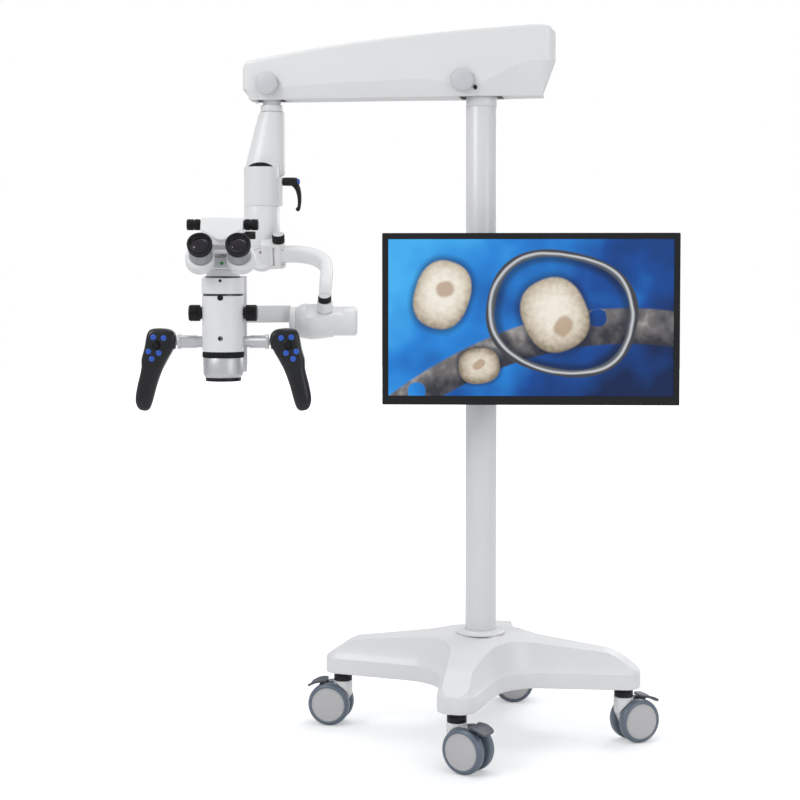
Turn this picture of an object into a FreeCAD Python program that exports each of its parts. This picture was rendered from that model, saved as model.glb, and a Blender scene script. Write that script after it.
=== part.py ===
import FreeCAD, Part
import math
import os
import types

import Sketcher

# Surgical microscope on a four-legged mobile stand with a monitor, in millimetres.
# Origin: on the floor, on the column's axis. +Z is up, the balance arm points to -X
# and -Y is the side that the surgeon and the viewer stand on.

os.makedirs("parts", exist_ok=True)
doc = FreeCAD.newDocument("surgical_microscope")
Vec = FreeCAD.Vector
X_AXIS = Vec(1, 0, 0)
Y_AXIS = Vec(0, 1, 0)
Z_AXIS = Vec(0, 0, 1)

SIZES = {
    # Clearances shared by every joint
    "running_gap": 0.3,
    "pin_gap": 0.05,
    # Base casting
    "base_underside": 122,
    "base_rim_height": 36,
    "base_rise": 67,
    "base_turn": -5,
    "leg_reach_x": 316,
    "leg_reach_y": 277,
    "leg_tip_half_width": 36,
    "leg_root_half_width": 72,
    "leg_fillet": 105,
    "leg_knee_back": 60,
    "leg_knee_rise": 40,
    # Castors
    "wheel_radius": 47.5,
    "wheel_width": 21,
    "wheel_gap": 20,
    "wheel_axle_radius": 5,
    "castor_trail": 28,
    "castor_neck_radius": 19,
    "castor_neck_top": 100,
    "castor_socket_radius": 20.5,
    "castor_socket_height": 12,
    "castor_stem_radius": 8,
    "castor_stem_depth": 26,
    "pedal_width": 50,
    "pedal_length": 34,
    "pedal_thickness": 5,
    # Column
    "column_radius": 34.25,
    "column_wall": 4,
    "column_top": 1383,
    "flange_radius": 53,
    "flange_height": 9,
    "flange_step_radius": 45,
    "stop_collar_radius": 42,
    "stop_collar_height": 14,
    # Balance arm
    "pivot_height": 1435,
    "rear_pivot_x": -36,
    "front_pivot_x": -469,
    "pivot_pin_radius": 9,
    "cover_left": -528,
    "cover_right": 164,
    "cover_bottom": 1403,
    "cover_left_top": 1490,
    "cover_right_top": 1557,
    "cover_depth_rear": 112,
    "cover_depth_front": 86,
    "cover_shoulder_x": -60,
    "cover_wall": 3,
    "cover_bow": 11,
    "cover_flank_height": 34,
    "cover_flank_inset": 11,
    "cover_slot_swing": 11.5,
    "cover_lug_height": 5,
    "arm_tube_height": 40,
    "arm_tube_depth": 34,
    "arm_tube_wall": 4,
    "spring_radius": 12.7,
    "rod_radius": 6,
    "rod_rise": 34,
    "head_fork_gap": 38,
    "head_fork_plate": 9,
    "beam_knob_radius": 24,
    "beam_knob_length": 15,
    # Hanger, sleeve and knuckle
    "spindle_radius": 20,
    "hanger_collar_radius": 25,
    "hanger_collar_height": 14,
    "hanger_collar_top": 1393,
    "sleeve_x": -484,
    "sleeve_y": 24,
    "sleeve_radius": 39,
    "sleeve_bore": 22,
    "sleeve_top": 1254,
    "sleeve_bottom": 1167,
    "knuckle_bottom": 1082,
    "drum_radius": 27.5,
    "drum_height": 1051,
    "lever_height": 1222,
    "lever_barrel_radius": 9.5,
    # Coupling arm in its inclined plane
    "view_turn": 8,
    "arm_incline": 28,
    "hub_x": -444,
    "hub_y": -10,
    "hub_z": 1062,
    "hub_radius": 12,
    "hub_height": 44,
    "link_run_x": 108,
    "link_run_forward": 200,
    "link_width": 26,
    "link_height": 34,
    "link_end_height": 22,
    "link_bend_radius": 87,
    "link_pin_radius": 5,
    "link_knob_radius": 13.7,
    "link_knob_height": 20,
    # Tilt bulb and yoke
    "bulb_drop": 55,
    "bulb_radius": 38.5,
    "bulb_left": -397,
    "bulb_right": -318,
    "bulb_end": -269,
    "bulb_end_radius": 30.5,
    "yoke_ring_radius": 29.4,
    "yoke_ring_width": 13,
    "yoke_pin_radius": 12,
    "yoke_height": 35,
    "yoke_thickness": 22,
    "yoke_rise": 15,
    # Microscope body
    "scope_x": -542,
    "scope_y": -237,
    "barrel_radius": 42.6,
    "barrel_top": 1010.5,
    "barrel_bottom": 859.4,
    "barrel_groove_top": 978,
    "barrel_groove_width": 4,
    "focus_ring_radius": 42.6,
    "focus_ring_height": 12.4,
    "focus_spigot_radius": 36,
    "cell_radius": 41,
    "cell_height": 36,
    "lens_ring_radius": 36.5,
    "lens_ring_height": 12,
    "filter_seat_radius": 30,
    "filter_seat_depth": 6,
    "lens_radius": 28,
    "lens_thickness": 8,
    "rear_plate_width": 96,
    "rear_plate_thickness": 10,
    "rear_plate_bottom": 815,
    "rear_plate_top": 1014,
    "magnifier_height": 938.4,
    "magnifier_radius": 16.7,
    "magnifier_length": 27,
    "magnifier_shaft_radius": 4,
    "bar_height": 879.5,
    "bar_radius": 12.9,
    "bar_reach": 104,
    "bar_pin_radius": 7,
    # Handles
    "handle_depth": 34,
    "handle_head_reach": 134,
    "button_radius": 5.9,
    "button_height": 3.4,
    "button_stem": 2.5,
    "button_travel": 1.2,
    "stick_radius": 7,
    "stick_depth": 5.7,
    # Binocular tube
    "neck_radius": 34.9,
    "neck_top_radius": 30.3,
    "neck_height": 18.5,
    "binocular_axis_height": 1043,
    "binocular_pin_radius": 8,
    "binocular_width": 86,
    "binocular_top": 1133,
    "eye_spacing": 76,
    "eye_incline": 33,
    "eye_forward": -110,
    "eye_height": 1079.3,
    "eyecup_radius": 25.4,
    "eyecup_length": 14.5,
    "eye_tube_radius": 22.3,
    "eye_tube_length": 32,
    "lobe_radius": 33,
    "lobe_length": 30,
    "eye_lens_radius": 16.5,
    "spacing_knob_radius": 11.4,
    "spacing_knob_length": 30,
    "spacing_knob_height": 1120,
    "spacing_travel": 10,
    # Monitor
    "monitor_width": 628,
    "monitor_height": 364,
    "monitor_depth": 45,
    "monitor_bezel_side": 13,
    "monitor_bezel_foot": 19,
    "monitor_screen_set": 1.2,
    "monitor_centre_x": 115.4,
    "monitor_centre_y": -125.2,
    "monitor_centre_z": 923,
    "monitor_turn": 5.6,
    "monitor_pivot_gap": 52,
    "monitor_ring_radius": 47,
    "monitor_ring_height": 44,
    "monitor_strut_height": 18,
    "monitor_post_half": 18,
    "monitor_pin_radius": 8,
}


# Half width at which a drawn-in leg counts as pointed
SHARP_TIP = 2


class Length:
    """A length with its value and the sheet formula that gives it."""

    def __init__(self, value, text):
        self.value = float(value)
        self.text = text

    def __add__(self, other):
        other = length(other)
        return Length(self.value + other.value, f"({self.text} + {other.text})")

    def __sub__(self, other):
        other = length(other)
        return Length(self.value - other.value, f"({self.text} - {other.text})")

    def __mul__(self, other):
        other = length(other)
        return Length(self.value * other.value, f"({self.text} * {other.text})")

    def __truediv__(self, other):
        other = length(other)
        return Length(self.value / other.value, f"({self.text} / {other.text})")

    def __neg__(self):
        return Length(-self.value, f"(0 - {self.text})")

    __radd__ = __add__
    __rmul__ = __mul__

    def __rsub__(self, other):
        return length(other) - self


def length(amount):
    if isinstance(amount, Length):
        return amount
    number = float(amount)
    text = f"({number:.6f})" if number < 0 else f"{number:.6f}"
    return Length(number, text)


def fill_sheet():
    """Writes every driving dimension to the sheet and returns them by name."""
    sheet = doc.addObject("Spreadsheet::Sheet", "sizes")
    named = {}
    for row, (name, number) in enumerate(SIZES.items(), start=1):
        sheet.set(f"A{row}", name)
        sheet.set(f"B{row}", str(number))
        sheet.setAlias(f"B{row}", name)
        named[name] = Length(number, f"sizes.{name}")
    doc.recompute()
    return types.SimpleNamespace(**named)


size = fill_sheet()
finished = []


def bind(item, **amounts):
    for name, amount in amounts.items():
        item.setExpression(name, length(amount).text)


def place(item, at, turn=None):
    """Seats an item at three lengths, with an optional fixed rotation."""
    spots = [length(amount).value for amount in at]
    item.Placement = FreeCAD.Placement(Vec(*spots), turn or FreeCAD.Rotation())
    for letter, amount in zip("xyz", at):
        item.setExpression(f"Placement.Base.{letter}", length(amount).text)
    return item


ALONG = {
    "Z": FreeCAD.Rotation(),
    "X": FreeCAD.Rotation(Y_AXIS, 90),
    "Y": FreeCAD.Rotation(X_AXIS, -90),
}


def rod(name, radius, tall, at=(0, 0, 0), along="Z"):
    """Cylinder that starts at a point and runs along one axis."""
    item = doc.addObject("Part::Cylinder", name)
    bind(item, Radius=radius, Height=tall)
    return place(item, at, ALONG[along])


def taper(name, low_radius, high_radius, tall, at=(0, 0, 0), along="Z"):
    item = doc.addObject("Part::Cone", name)
    bind(item, Radius1=low_radius, Radius2=high_radius, Height=tall)
    return place(item, at, ALONG[along])


def block(name, wide, deep, tall, at=(0, 0, 0)):
    """Box centred on its point in X and Y, standing on it in Z."""
    item = doc.addObject("Part::Box", name)
    bind(item, Length=wide, Width=deep, Height=tall)
    x, y, z = (length(amount) for amount in at)
    return place(item, (x - length(wide) / 2, y - length(deep) / 2, z))


def origin_plane(body, role):
    return [item for item in body.Origin.OriginFeatures if item.Role == role][0]


def corner_arc(before, corner, after, radius):
    """Tangent points, centre and angles of the arc that rounds one corner."""
    into = (before - corner).normalize()
    out = (after - corner).normalize()
    half = into.getAngle(out) / 2
    reach = radius / math.tan(half)
    middle = (into + out).normalize()
    centre = corner + middle * (radius / math.sin(half))
    start = corner + into * reach
    end = corner + out * reach
    return start, end, centre


def outline(sketch, corners):
    """Closed outline of straight runs, each corner bound to the sheet and rounded if asked.

    A corner is (x, y) or (x, y, radius)."""
    count = len(corners)
    spots = [Vec(length(c[0]).value, length(c[1]).value, 0) for c in corners]
    ends = []
    for i, corner in enumerate(corners):
        if len(corner) > 2:
            ends.append(corner_arc(spots[i - 1], spots[i], spots[(i + 1) % count],
                                   length(corner[2]).value))
        else:
            ends.append((spots[i], spots[i], None))
    runs = []
    for i in range(count):
        line = Part.LineSegment(ends[i][1], ends[(i + 1) % count][0])
        runs.append(sketch.addGeometry(line, False))
    rules = []
    bound = []
    for i, corner in enumerate(corners):
        before = runs[i - 1]
        after = runs[i]
        held = after
        if len(corner) > 2:
            start, end, centre = ends[i]
            middle = centre + (spots[i] - centre).normalize() * (start - centre).Length
            leftward = (spots[i] - start).cross(end - spots[i]).z > 0
            bend = Part.Arc(start, middle, end) if leftward else Part.Arc(end, middle, start)
            arc = sketch.addGeometry(bend, False)
            first = 1 if leftward else 2
            held = sketch.addGeometry(Part.Point(spots[i]), True)
            rules.append(Sketcher.Constraint("Tangent", before, 2, arc, first))
            rules.append(Sketcher.Constraint("Tangent", arc, 3 - first, after, 1))
            rules.append(Sketcher.Constraint("PointOnObject", held, 1, before))
            rules.append(Sketcher.Constraint("PointOnObject", held, 1, after))
            bound.append((len(rules), corner[2]))
            rules.append(Sketcher.Constraint("Radius", arc, length(corner[2]).value))
        else:
            rules.append(Sketcher.Constraint("Coincident", before, 2, after, 1))
        for kind, amount in (("DistanceX", corner[0]), ("DistanceY", corner[1])):
            bound.append((len(rules), amount))
            rules.append(Sketcher.Constraint(kind, -1, 1, held, 1, length(amount).value))
    sketch.addConstraint(rules)
    for number, amount in bound:
        sketch.setExpression(f"Constraints[{number}]", length(amount).text)


def sketch_in(body, name, role, corners):
    sketch = body.newObject("Sketcher::SketchObject", name)
    sketch.AttachmentSupport = [(origin_plane(body, role), "")]
    sketch.MapMode = "FlatFace"
    outline(sketch, corners)
    return sketch


def turned(name, profile):
    """Body turned about its Z axis from (radius, height) corners."""
    body = doc.addObject("PartDesign::Body", name)
    sketch = sketch_in(body, name + "_profile", "XZ_Plane", profile)
    turn = body.newObject("PartDesign::Revolution", name + "_turn")
    turn.Profile = sketch
    turn.ReferenceAxis = (sketch, ["V_Axis"])
    turn.Angle = 360
    return body


def padded(name, role, corners, thick):
    """Body padded evenly to both sides of one of its own origin planes."""
    body = doc.addObject("PartDesign::Body", name)
    sketch = sketch_in(body, name + "_outline", role, corners)
    pad = body.newObject("PartDesign::Pad", name + "_pad")
    pad.Profile = sketch
    pad.Midplane = True
    bind(pad, Length=thick)
    return body


def rounded(body, name, radius, test):
    """Fillets the edges of a body that pass a test."""
    doc.recompute()
    base = body.Tip
    edges = [f"Edge{i}" for i, edge in enumerate(base.Shape.Edges, start=1) if test(edge)]
    fillet = body.newObject("PartDesign::Fillet", name)
    fillet.Base = (base, edges)
    bind(fillet, Radius=radius)
    body.Tip = fillet
    return body


def fuse(name, *items):
    joined = doc.addObject("Part::MultiFuse", name)
    joined.Shapes = list(items)
    joined.Refine = True
    return joined


def group(name, *items):
    joined = doc.addObject("Part::Compound", name)
    joined.Links = list(items)
    return joined


def cut(name, base, tool):
    carved = doc.addObject("Part::Cut", name)
    carved.Base = base
    carved.Tool = tool
    return carved


def carve(name, base, *tools):
    """Cuts one tool after another out of a base."""
    for number, tool in enumerate(tools):
        base = cut(f"{name}_{number}", base, tool)
    return base


def node(item, label, frame=None):
    """Names a sub-part and seats it in the frame that carries it."""
    item.Label = label
    if frame is not None:
        for letter in "xyz":
            item.setExpression(f"Placement.Base.{letter}", None)
        item.Placement = frame.multiply(item.Placement)
    finished.append(item)
    return item


def frame_at(x, y, z, turn=None):
    spots = [length(amount).value for amount in (x, y, z)]
    return FreeCAD.Placement(Vec(*spots), turn or FreeCAD.Rotation())


# The base stands a little turned under the arm
stand_frame = frame_at(0, 0, 0, FreeCAD.Rotation(Z_AXIS, size.base_turn.value))
# Everything below the hanger is turned a little about the column's axis
view_frame = frame_at(0, 0, 0, FreeCAD.Rotation(Z_AXIS, size.view_turn.value))
# The coupling arm lies in a plane that leans toward the viewer
link_frame = view_frame.multiply(frame_at(
    size.hub_x, size.hub_y, size.hub_z, FreeCAD.Rotation(X_AXIS, size.arm_incline.value)))
scope_frame = view_frame.multiply(frame_at(size.scope_x, size.scope_y, 0))


def leg_outline(inset, bend_growth):
    """Corners of the four-legged outline, drawn in from the rim by an inset."""
    inset = length(inset)
    tip = size.leg_tip_half_width
    root = size.leg_root_half_width
    corners = []
    for turn, reach in enumerate((size.leg_reach_x, size.leg_reach_y) * 2):
        far = reach + tip
        slope = (root - tip) / (far - root)
        half = tip - inset
        if half.value < SHARP_TIP:
            far = far - (inset + SHARP_TIP - tip) / slope
            half = length(SHARP_TIP)
        else:
            far = far - inset
        corner = root - inset
        leg = [(far, -half, half * 0.94), (far, half, half * 0.94),
               (corner, corner, size.leg_fillet + bend_growth)]
        for along, across, radius in leg:
            x, y = along, across
            for quarter in range(turn):
                x, y = -y, x
            corners.append((x, y, radius))
    return corners


def make_base():
    """Casting with a vertical rim and flanks scooped up to a round plateau."""
    rim = doc.addObject("PartDesign::Body", "base_rim")
    sketch = sketch_in(rim, "base_outline", "XY_Plane",
                       leg_outline(0, 0))
    pad = rim.newObject("PartDesign::Pad", "base_rim_pad")
    pad.Profile = sketch
    bind(pad, Length=size.base_rim_height)
    place(rim, (0, 0, size.base_underside))
    # Inset from the rim and share of the rise: a scoop that steepens upward
    steps = ((0, 0), (10, 0.10), (18, 0.30), (24, 0.56), (28, 0.80), (30.5, 1.0))
    sections = []
    for number, (inset, share) in enumerate(steps):
        level = doc.addObject("Sketcher::SketchObject", f"base_level_{number}")
        outline(level, leg_outline(inset, inset))
        place(level, (0, 0, size.base_underside + size.base_rim_height
                      + size.base_rise * share))
        sections.append(level)
    flanks = doc.addObject("Part::Loft", "base_flanks")
    flanks.Sections = sections
    flanks.Solid = True
    flanks.Ruled = True
    # The top of every leg falls gently outward and then steeply to the rim at its tip
    low = size.base_underside
    rim_top = low + size.base_rim_height
    top = rim_top + size.base_rise
    roofs = []
    for role, reach in (("XZ_Plane", size.leg_reach_x), ("YZ_Plane", size.leg_reach_y)):
        far = reach + size.leg_tip_half_width
        knee = far - size.leg_knee_back
        roofs.append(padded(f"base_roof_{role[:2].lower()}", role, [
            (-far - 2, low), (far + 2, low), (far + 2, rim_top - 1.5),
            (knee, rim_top + size.leg_knee_rise), (size.flange_radius, top),
            (-size.flange_radius, top), (-knee, rim_top + size.leg_knee_rise),
            (-far - 2, rim_top - 1.5)], 2 * far + 10))
    whole = doc.addObject("Part::MultiCommon", "base_whole")
    whole.Shapes = [fuse("base_solid", rim, flanks), *roofs]
    bores = []
    for number, (x, y) in enumerate(castor_spots()):
        bores.append(rod(f"base_bore_{number}", size.castor_stem_radius + size.pin_gap,
                         size.castor_stem_depth, (x, y, size.base_underside)))
    node(cut("base_casting", whole, fuse("base_bores", *bores)), "base", stand_frame)


def castor_spots():
    return ((-size.leg_reach_x, length(0)), (size.leg_reach_x, length(0)),
            (length(0), -size.leg_reach_y), (length(0), size.leg_reach_y))


# Heading of each castor from the leg frame's own X axis
CASTORS = (("left", 180), ("right", 37), ("front", -22), ("rear", 17))


def make_castor(name, heading, spot):
    """Fork with hood, twin wheels on one axle and brake pedal, trailing along its heading."""
    frame = stand_frame.multiply(frame_at(spot[0], spot[1], 0,
                                          FreeCAD.Rotation(Z_AXIS, heading)))
    web = size.wheel_gap - 2 * size.running_gap
    axle = size.wheel_radius
    trail = size.castor_trail
    neck_top = size.castor_neck_top
    cheek = padded(f"castor_{name}_cheek", "XZ_Plane", [
        (-size.castor_neck_radius, neck_top - 30, 14),
        (trail - 24, axle - 24, 20),
        (trail + 24, axle - 24, 20),
        (trail + 26, axle + 20, 12),
        (size.castor_neck_radius, neck_top - 8),
        (size.castor_neck_radius, neck_top),
        (-size.castor_neck_radius, neck_top)], web)
    neck = rod(f"castor_{name}_neck", size.castor_neck_radius, 34, (0, 0, neck_top - 34))
    hood = fuse(f"castor_{name}_hood", cheek, neck)
    room = fuse(f"castor_{name}_room", *[
        rod(f"castor_{name}_room_{side}", size.wheel_radius + 1.5, size.wheel_width + 2,
            (trail, start, axle), "Y")
        for side, start in ((0, size.wheel_gap / 2 - 0.1),
                            (1, -size.wheel_gap / 2 - size.wheel_width - 1.9))])
    bores = fuse(
        f"castor_{name}_bores",
        rod(f"castor_{name}_axle_bore", size.wheel_axle_radius + size.pin_gap, 60,
            (trail, -30, axle), "Y"),
        rod(f"castor_{name}_stem_bore", size.castor_stem_radius + size.pin_gap, 22.5,
            (0, 0, neck_top - 22.5)),
        rod(f"castor_{name}_pedal_bore", 3 + size.pin_gap, 60, (trail + 16, -30, axle + 18),
            "Y"),
        block(f"castor_{name}_pedal_slot", 30, 9, 40, (trail + 22, 0, axle + 10)))
    shaped = cut(f"castor_{name}_shaped", hood, fuse(f"castor_{name}_cuts", room, bores))
    node(shaped, f"castor_{name}_fork", frame)

    parts = [rod(f"castor_{name}_axle", size.wheel_axle_radius,
                 size.wheel_gap + 2 * size.wheel_width - 8,
                 (trail, 4 - size.wheel_gap / 2 - size.wheel_width, axle), "Y")]
    for side in (1, -1):
        r = size.wheel_radius
        w = size.wheel_width
        bore = size.wheel_axle_radius + size.pin_gap
        wheel = turned(f"castor_{name}_wheel_{'ab'[side > 0]}", [
            (bore, 0), (r - 3, 0), (r, 3), (r, w - 6), (r - 5, w), (r - 9, w),
            (r - 11, w - 3), (0, w - 2), (0, w - 4), (bore, w - 4)])
        turn = FreeCAD.Rotation(X_AXIS, -90 * side)
        place(wheel, (trail, side * size.wheel_gap / 2, axle), turn)
        parts.append(wheel)
    node(group(f"castor_{name}_pair", *parts), f"castor_{name}_wheels", frame)

    paddle = padded(f"castor_{name}_paddle", "XZ_Plane", [
        (trail + 12, axle + 54), (trail + 12 + size.pedal_length * 0.55, axle + 52, 30),
        (trail + 16 + size.pedal_length, axle + 42),
        (trail + 14 + size.pedal_length, axle + 37),
        (trail + 8 + size.pedal_length * 0.55, axle + 52 - size.pedal_thickness, 30),
        (trail + 12, axle + 54 - size.pedal_thickness)], size.pedal_width)
    wedge = padded(f"castor_{name}_wedge", "XZ_Plane", [
        (trail + 10.5, axle + 12.5, 5), (trail + 21.5, axle + 12.5, 5),
        (trail + 28, axle + 50.7 - size.pedal_thickness),
        (trail + 16.5, axle + 53 - size.pedal_thickness)], 8)
    pedal_pin = rod(f"castor_{name}_pedal_pin", 3, web - 1,
                    (trail + 16, 0.5 - web / 2, axle + 18), "Y")
    node(group(f"castor_{name}_brake", paddle,
               fuse(f"castor_{name}_wedge_set", wedge, pedal_pin)),
         f"castor_{name}_pedal", frame)


def make_sockets():
    """Black stepped sockets with the stems that the castors turn on."""
    items = []
    for number, (x, y) in enumerate(castor_spots()):
        foot = size.castor_neck_top + size.running_gap
        r = size.castor_socket_radius
        stem = size.castor_stem_radius
        tall = size.castor_socket_height
        bore = stem + size.pin_gap
        collar = turned(f"castor_collar_{number}", [
            (bore, 0), (r, 0), (r, tall), (r - 3, tall),
            (r - 3, size.base_underside - foot), (bore, size.base_underside - foot)])
        items.append(place(collar, (x, y, foot)))
        items.append(rod(f"castor_stem_{number}", stem,
                         size.base_underside + size.castor_stem_depth - 1 - foot + 22,
                         (x, y, foot - 22)))
    node(group("castor_socket_set", *items), "castor_sockets", stand_frame)


def make_column():
    plateau = size.base_underside + size.base_rim_height + size.base_rise
    tube = turned("column_tube", [
        (size.column_radius - size.column_wall, 0), (size.column_radius, 0),
        (size.column_radius, size.column_top - plateau),
        (size.column_radius - size.column_wall, size.column_top - plateau)])
    node(place(tube, (0, 0, plateau)), "column")
    r = size.flange_radius
    bore = size.column_radius + size.pin_gap
    ring = turned("flange_ring", [
        (bore, 0), (r, 0), (r, size.flange_height * 0.5), (r - 2, size.flange_height * 0.62),
        (size.flange_step_radius + 1, size.flange_height * 0.62),
        (size.flange_step_radius, size.flange_height), (bore, size.flange_height)])
    place(ring, (0, 0, plateau))
    s = size.stop_collar_radius
    collar = turned("stop_collar", [
        (bore, 0), (s - 1, 0), (s, 1), (s, size.stop_collar_height - 1),
        (s - 1, size.stop_collar_height), (bore, size.stop_collar_height)])
    place(collar, (0, 0, monitor_ring_foot() - size.stop_collar_height - size.running_gap))
    node(group("collar_set", ring, collar), "column_collars")


def monitor_ring_foot():
    """Height of the swing arm's ring, low enough for its strut to pass under the bracket."""
    return size.monitor_centre_z - size.monitor_post_half - size.monitor_strut_height - 2


def make_column_head():
    """Head that turns on the column and forks round the arm's rear pivot."""
    foot = size.column_top + size.running_gap
    neck_r = size.column_radius
    spigot = size.column_radius - size.column_wall - size.running_gap
    shoulder = size.cover_bottom - foot + 6
    post = turned("head_post", [
        (0, -60), (spigot, -60), (spigot, 0), (neck_r, 0), (neck_r, shoulder),
        (neck_r - 4, shoulder + 4), (0, shoulder + 4)])
    place(post, (0, 0, foot))
    wide = size.head_fork_gap + 2 * size.head_fork_plate
    top = size.cover_bottom + 8
    fork = padded("head_fork", "XZ_Plane", [
        (size.rear_pivot_x - 14, size.pivot_height - 10, 6),
        (-20, top), (28, top), (28, size.pivot_height + size.rod_rise + 16, 10),
        (size.rear_pivot_x - 14, size.pivot_height + size.rod_rise + 16, 10)], wide)
    channel = block("head_channel", 130, size.head_fork_gap, 140,
                    (size.rear_pivot_x + 10, 0, top + 2))
    pins = fuse("head_pins",
                rod("head_pin", size.pivot_pin_radius, size.cover_depth_rear + 16,
                    (size.rear_pivot_x, -size.cover_depth_rear / 2 - 8, size.pivot_height),
                    "Y"),
                rod("head_rod_pin", size.rod_radius, wide,
                    (size.rear_pivot_x, -wide / 2, size.pivot_height + size.rod_rise), "Y"))
    node(fuse("head_whole", cut("head_forked", fuse("head_solid", post, fork), channel),
              pins), "column_head")


def make_balance_arm():
    """Tube between the two pivots, with its spring cartridge slung below."""
    span = size.rear_pivot_x - size.front_pivot_x
    outer = block("arm_outer", span, size.arm_tube_depth, size.arm_tube_height,
                  ((size.rear_pivot_x + size.front_pivot_x) / 2, 0,
                   size.pivot_height - size.arm_tube_height / 2))
    ends = [rod(f"arm_end_{i}", size.arm_tube_height / 2, size.arm_tube_depth,
                (x, -size.arm_tube_depth / 2, size.pivot_height), "Y")
            for i, x in enumerate((size.rear_pivot_x, size.front_pivot_x))]
    hollow = block("arm_hollow", span - 80, size.arm_tube_depth - 2 * size.arm_tube_wall,
                   size.arm_tube_height - 2 * size.arm_tube_wall,
                   ((size.rear_pivot_x + size.front_pivot_x) / 2, 0,
                    size.pivot_height - size.arm_tube_height / 2 + size.arm_tube_wall))
    bores = [rod(f"arm_bore_{i}", size.pivot_pin_radius + size.pin_gap,
                 size.arm_tube_depth + 2,
                 (x, -size.arm_tube_depth / 2 - 1, size.pivot_height), "Y")
             for i, x in enumerate((size.rear_pivot_x, size.front_pivot_x))]
    tube = cut("arm_tube", fuse("arm_solid", outer, *ends), fuse("arm_voids", hollow, *bores))
    lugs = []
    for i, x in enumerate((-320, -160)):
        lugs.append(block(f"cover_lug_{i}", 18, size.cover_depth_front - 12,
                          size.cover_lug_height,
                          (x, 0, size.pivot_height + size.arm_tube_height / 2)))
    spring = rod("spring_cartridge", size.spring_radius, 210, (-350, 0, size.pivot_height),
                 "X")
    node(group("arm_set", fuse("arm_with_lugs", tube, *lugs), spring), "balance_arm")


def make_cover():
    """Long moulded cover, hollow, open below for the column head and the hanger."""
    def side(inset):
        left = size.cover_left + inset
        right = size.cover_right - inset
        low = size.cover_bottom + inset
        drop = size.cover_right_top - size.cover_left_top
        return [
            (left, low + 26, 8), (left + 19, low, 6), (right - 29, low, 4),
            (right, size.cover_bottom + 70, 4), (right, size.cover_right_top - 12 - inset, 14),
            (right - 34, size.cover_right_top - inset, 24),
            (-190, size.cover_right_top - drop * 0.5 + size.cover_bow - inset, 4000),
            (left + 14, size.cover_right_top - drop - inset, 14),
            (left, size.cover_left_top - 12 - inset, 10)]

    def plan(name, inset):
        half_rear = size.cover_depth_rear / 2 - inset
        half_front = size.cover_depth_front / 2 - inset
        left = size.cover_left + inset
        right = size.cover_right - inset
        return padded(name, "XY_Plane", [
            (left, -half_front, 16), (size.cover_shoulder_x, -half_rear, 200),
            (right, -half_rear, 34), (right, half_rear, 34),
            (size.cover_shoulder_x, half_rear, 200), (left, half_front, 16)], 600)

    shells = []
    for name, inset in (("cover_outside", length(0)), ("cover_inside", size.cover_wall)):
        form = padded(name + "_side", "XZ_Plane", side(inset), 300)
        top = plan(name + "_plan", inset)
        place(top, (0, 0, size.cover_bottom))
        half = size.cover_depth_rear / 2 - inset
        low = size.cover_bottom - 4 + inset
        flank = padded(name + "_flank", "YZ_Plane", [
            (-half + size.cover_flank_inset, low), (half - size.cover_flank_inset, low),
            (half, low + size.cover_flank_height), (half, size.cover_right_top + 20),
            (-half, size.cover_right_top + 20), (-half, low + size.cover_flank_height)], 1400)
        both = doc.addObject("Part::MultiCommon", name)
        both.Shapes = [form, top, flank]
        shells.append(both)
    slot_long = 2 * (size.column_radius + size.cover_slot_swing + 1)
    slots = [
        block("cover_column_slot", slot_long, 2 * size.column_radius + 4, 20,
              (0, 0, size.cover_bottom - 10)),
        block("cover_hanger_slot", 2 * (size.spindle_radius + size.cover_slot_swing + 1),
              2 * size.spindle_radius + 4, 20,
              (size.front_pivot_x, 0, size.cover_bottom - 10)),
        rod("cover_pin_bore_rear", size.pivot_pin_radius + size.running_gap, 200,
            (size.rear_pivot_x, -100, size.pivot_height), "Y"),
        rod("cover_pin_bore_front", size.pivot_pin_radius + size.running_gap, 200,
            (size.front_pivot_x, -100, size.pivot_height), "Y")]
    shell = cut("cover_shell", cut("cover_hollow", shells[0], shells[1]),
                fuse("cover_slots", *slots))
    node(shell, "beam_cover")


def make_parallel_rod():
    """Rod above the arm that keeps the hanger upright, with an eye at each end."""
    high = size.pivot_height + size.rod_rise
    eyes = []
    for i, x in enumerate((size.rear_pivot_x, size.front_pivot_x)):
        eyes.append(rod(f"rod_eye_{i}", size.rod_radius + 5, 10, (x, -5, high), "Y"))
    shank = rod("rod_shank", size.rod_radius, size.rear_pivot_x - size.front_pivot_x,
                (size.front_pivot_x, 0, high), "X")
    bores = fuse("rod_bores",
                 rod("rod_bore_rear", size.rod_radius + size.pin_gap, 40,
                     (size.rear_pivot_x, -20, high), "Y"),
                 rod("rod_bore_front", size.rod_radius + 1, 40,
                     (size.front_pivot_x, -20, high), "Y"))
    node(cut("rod_whole", fuse("rod_solid", shank, *eyes), bores), "parallel_rod")


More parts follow.
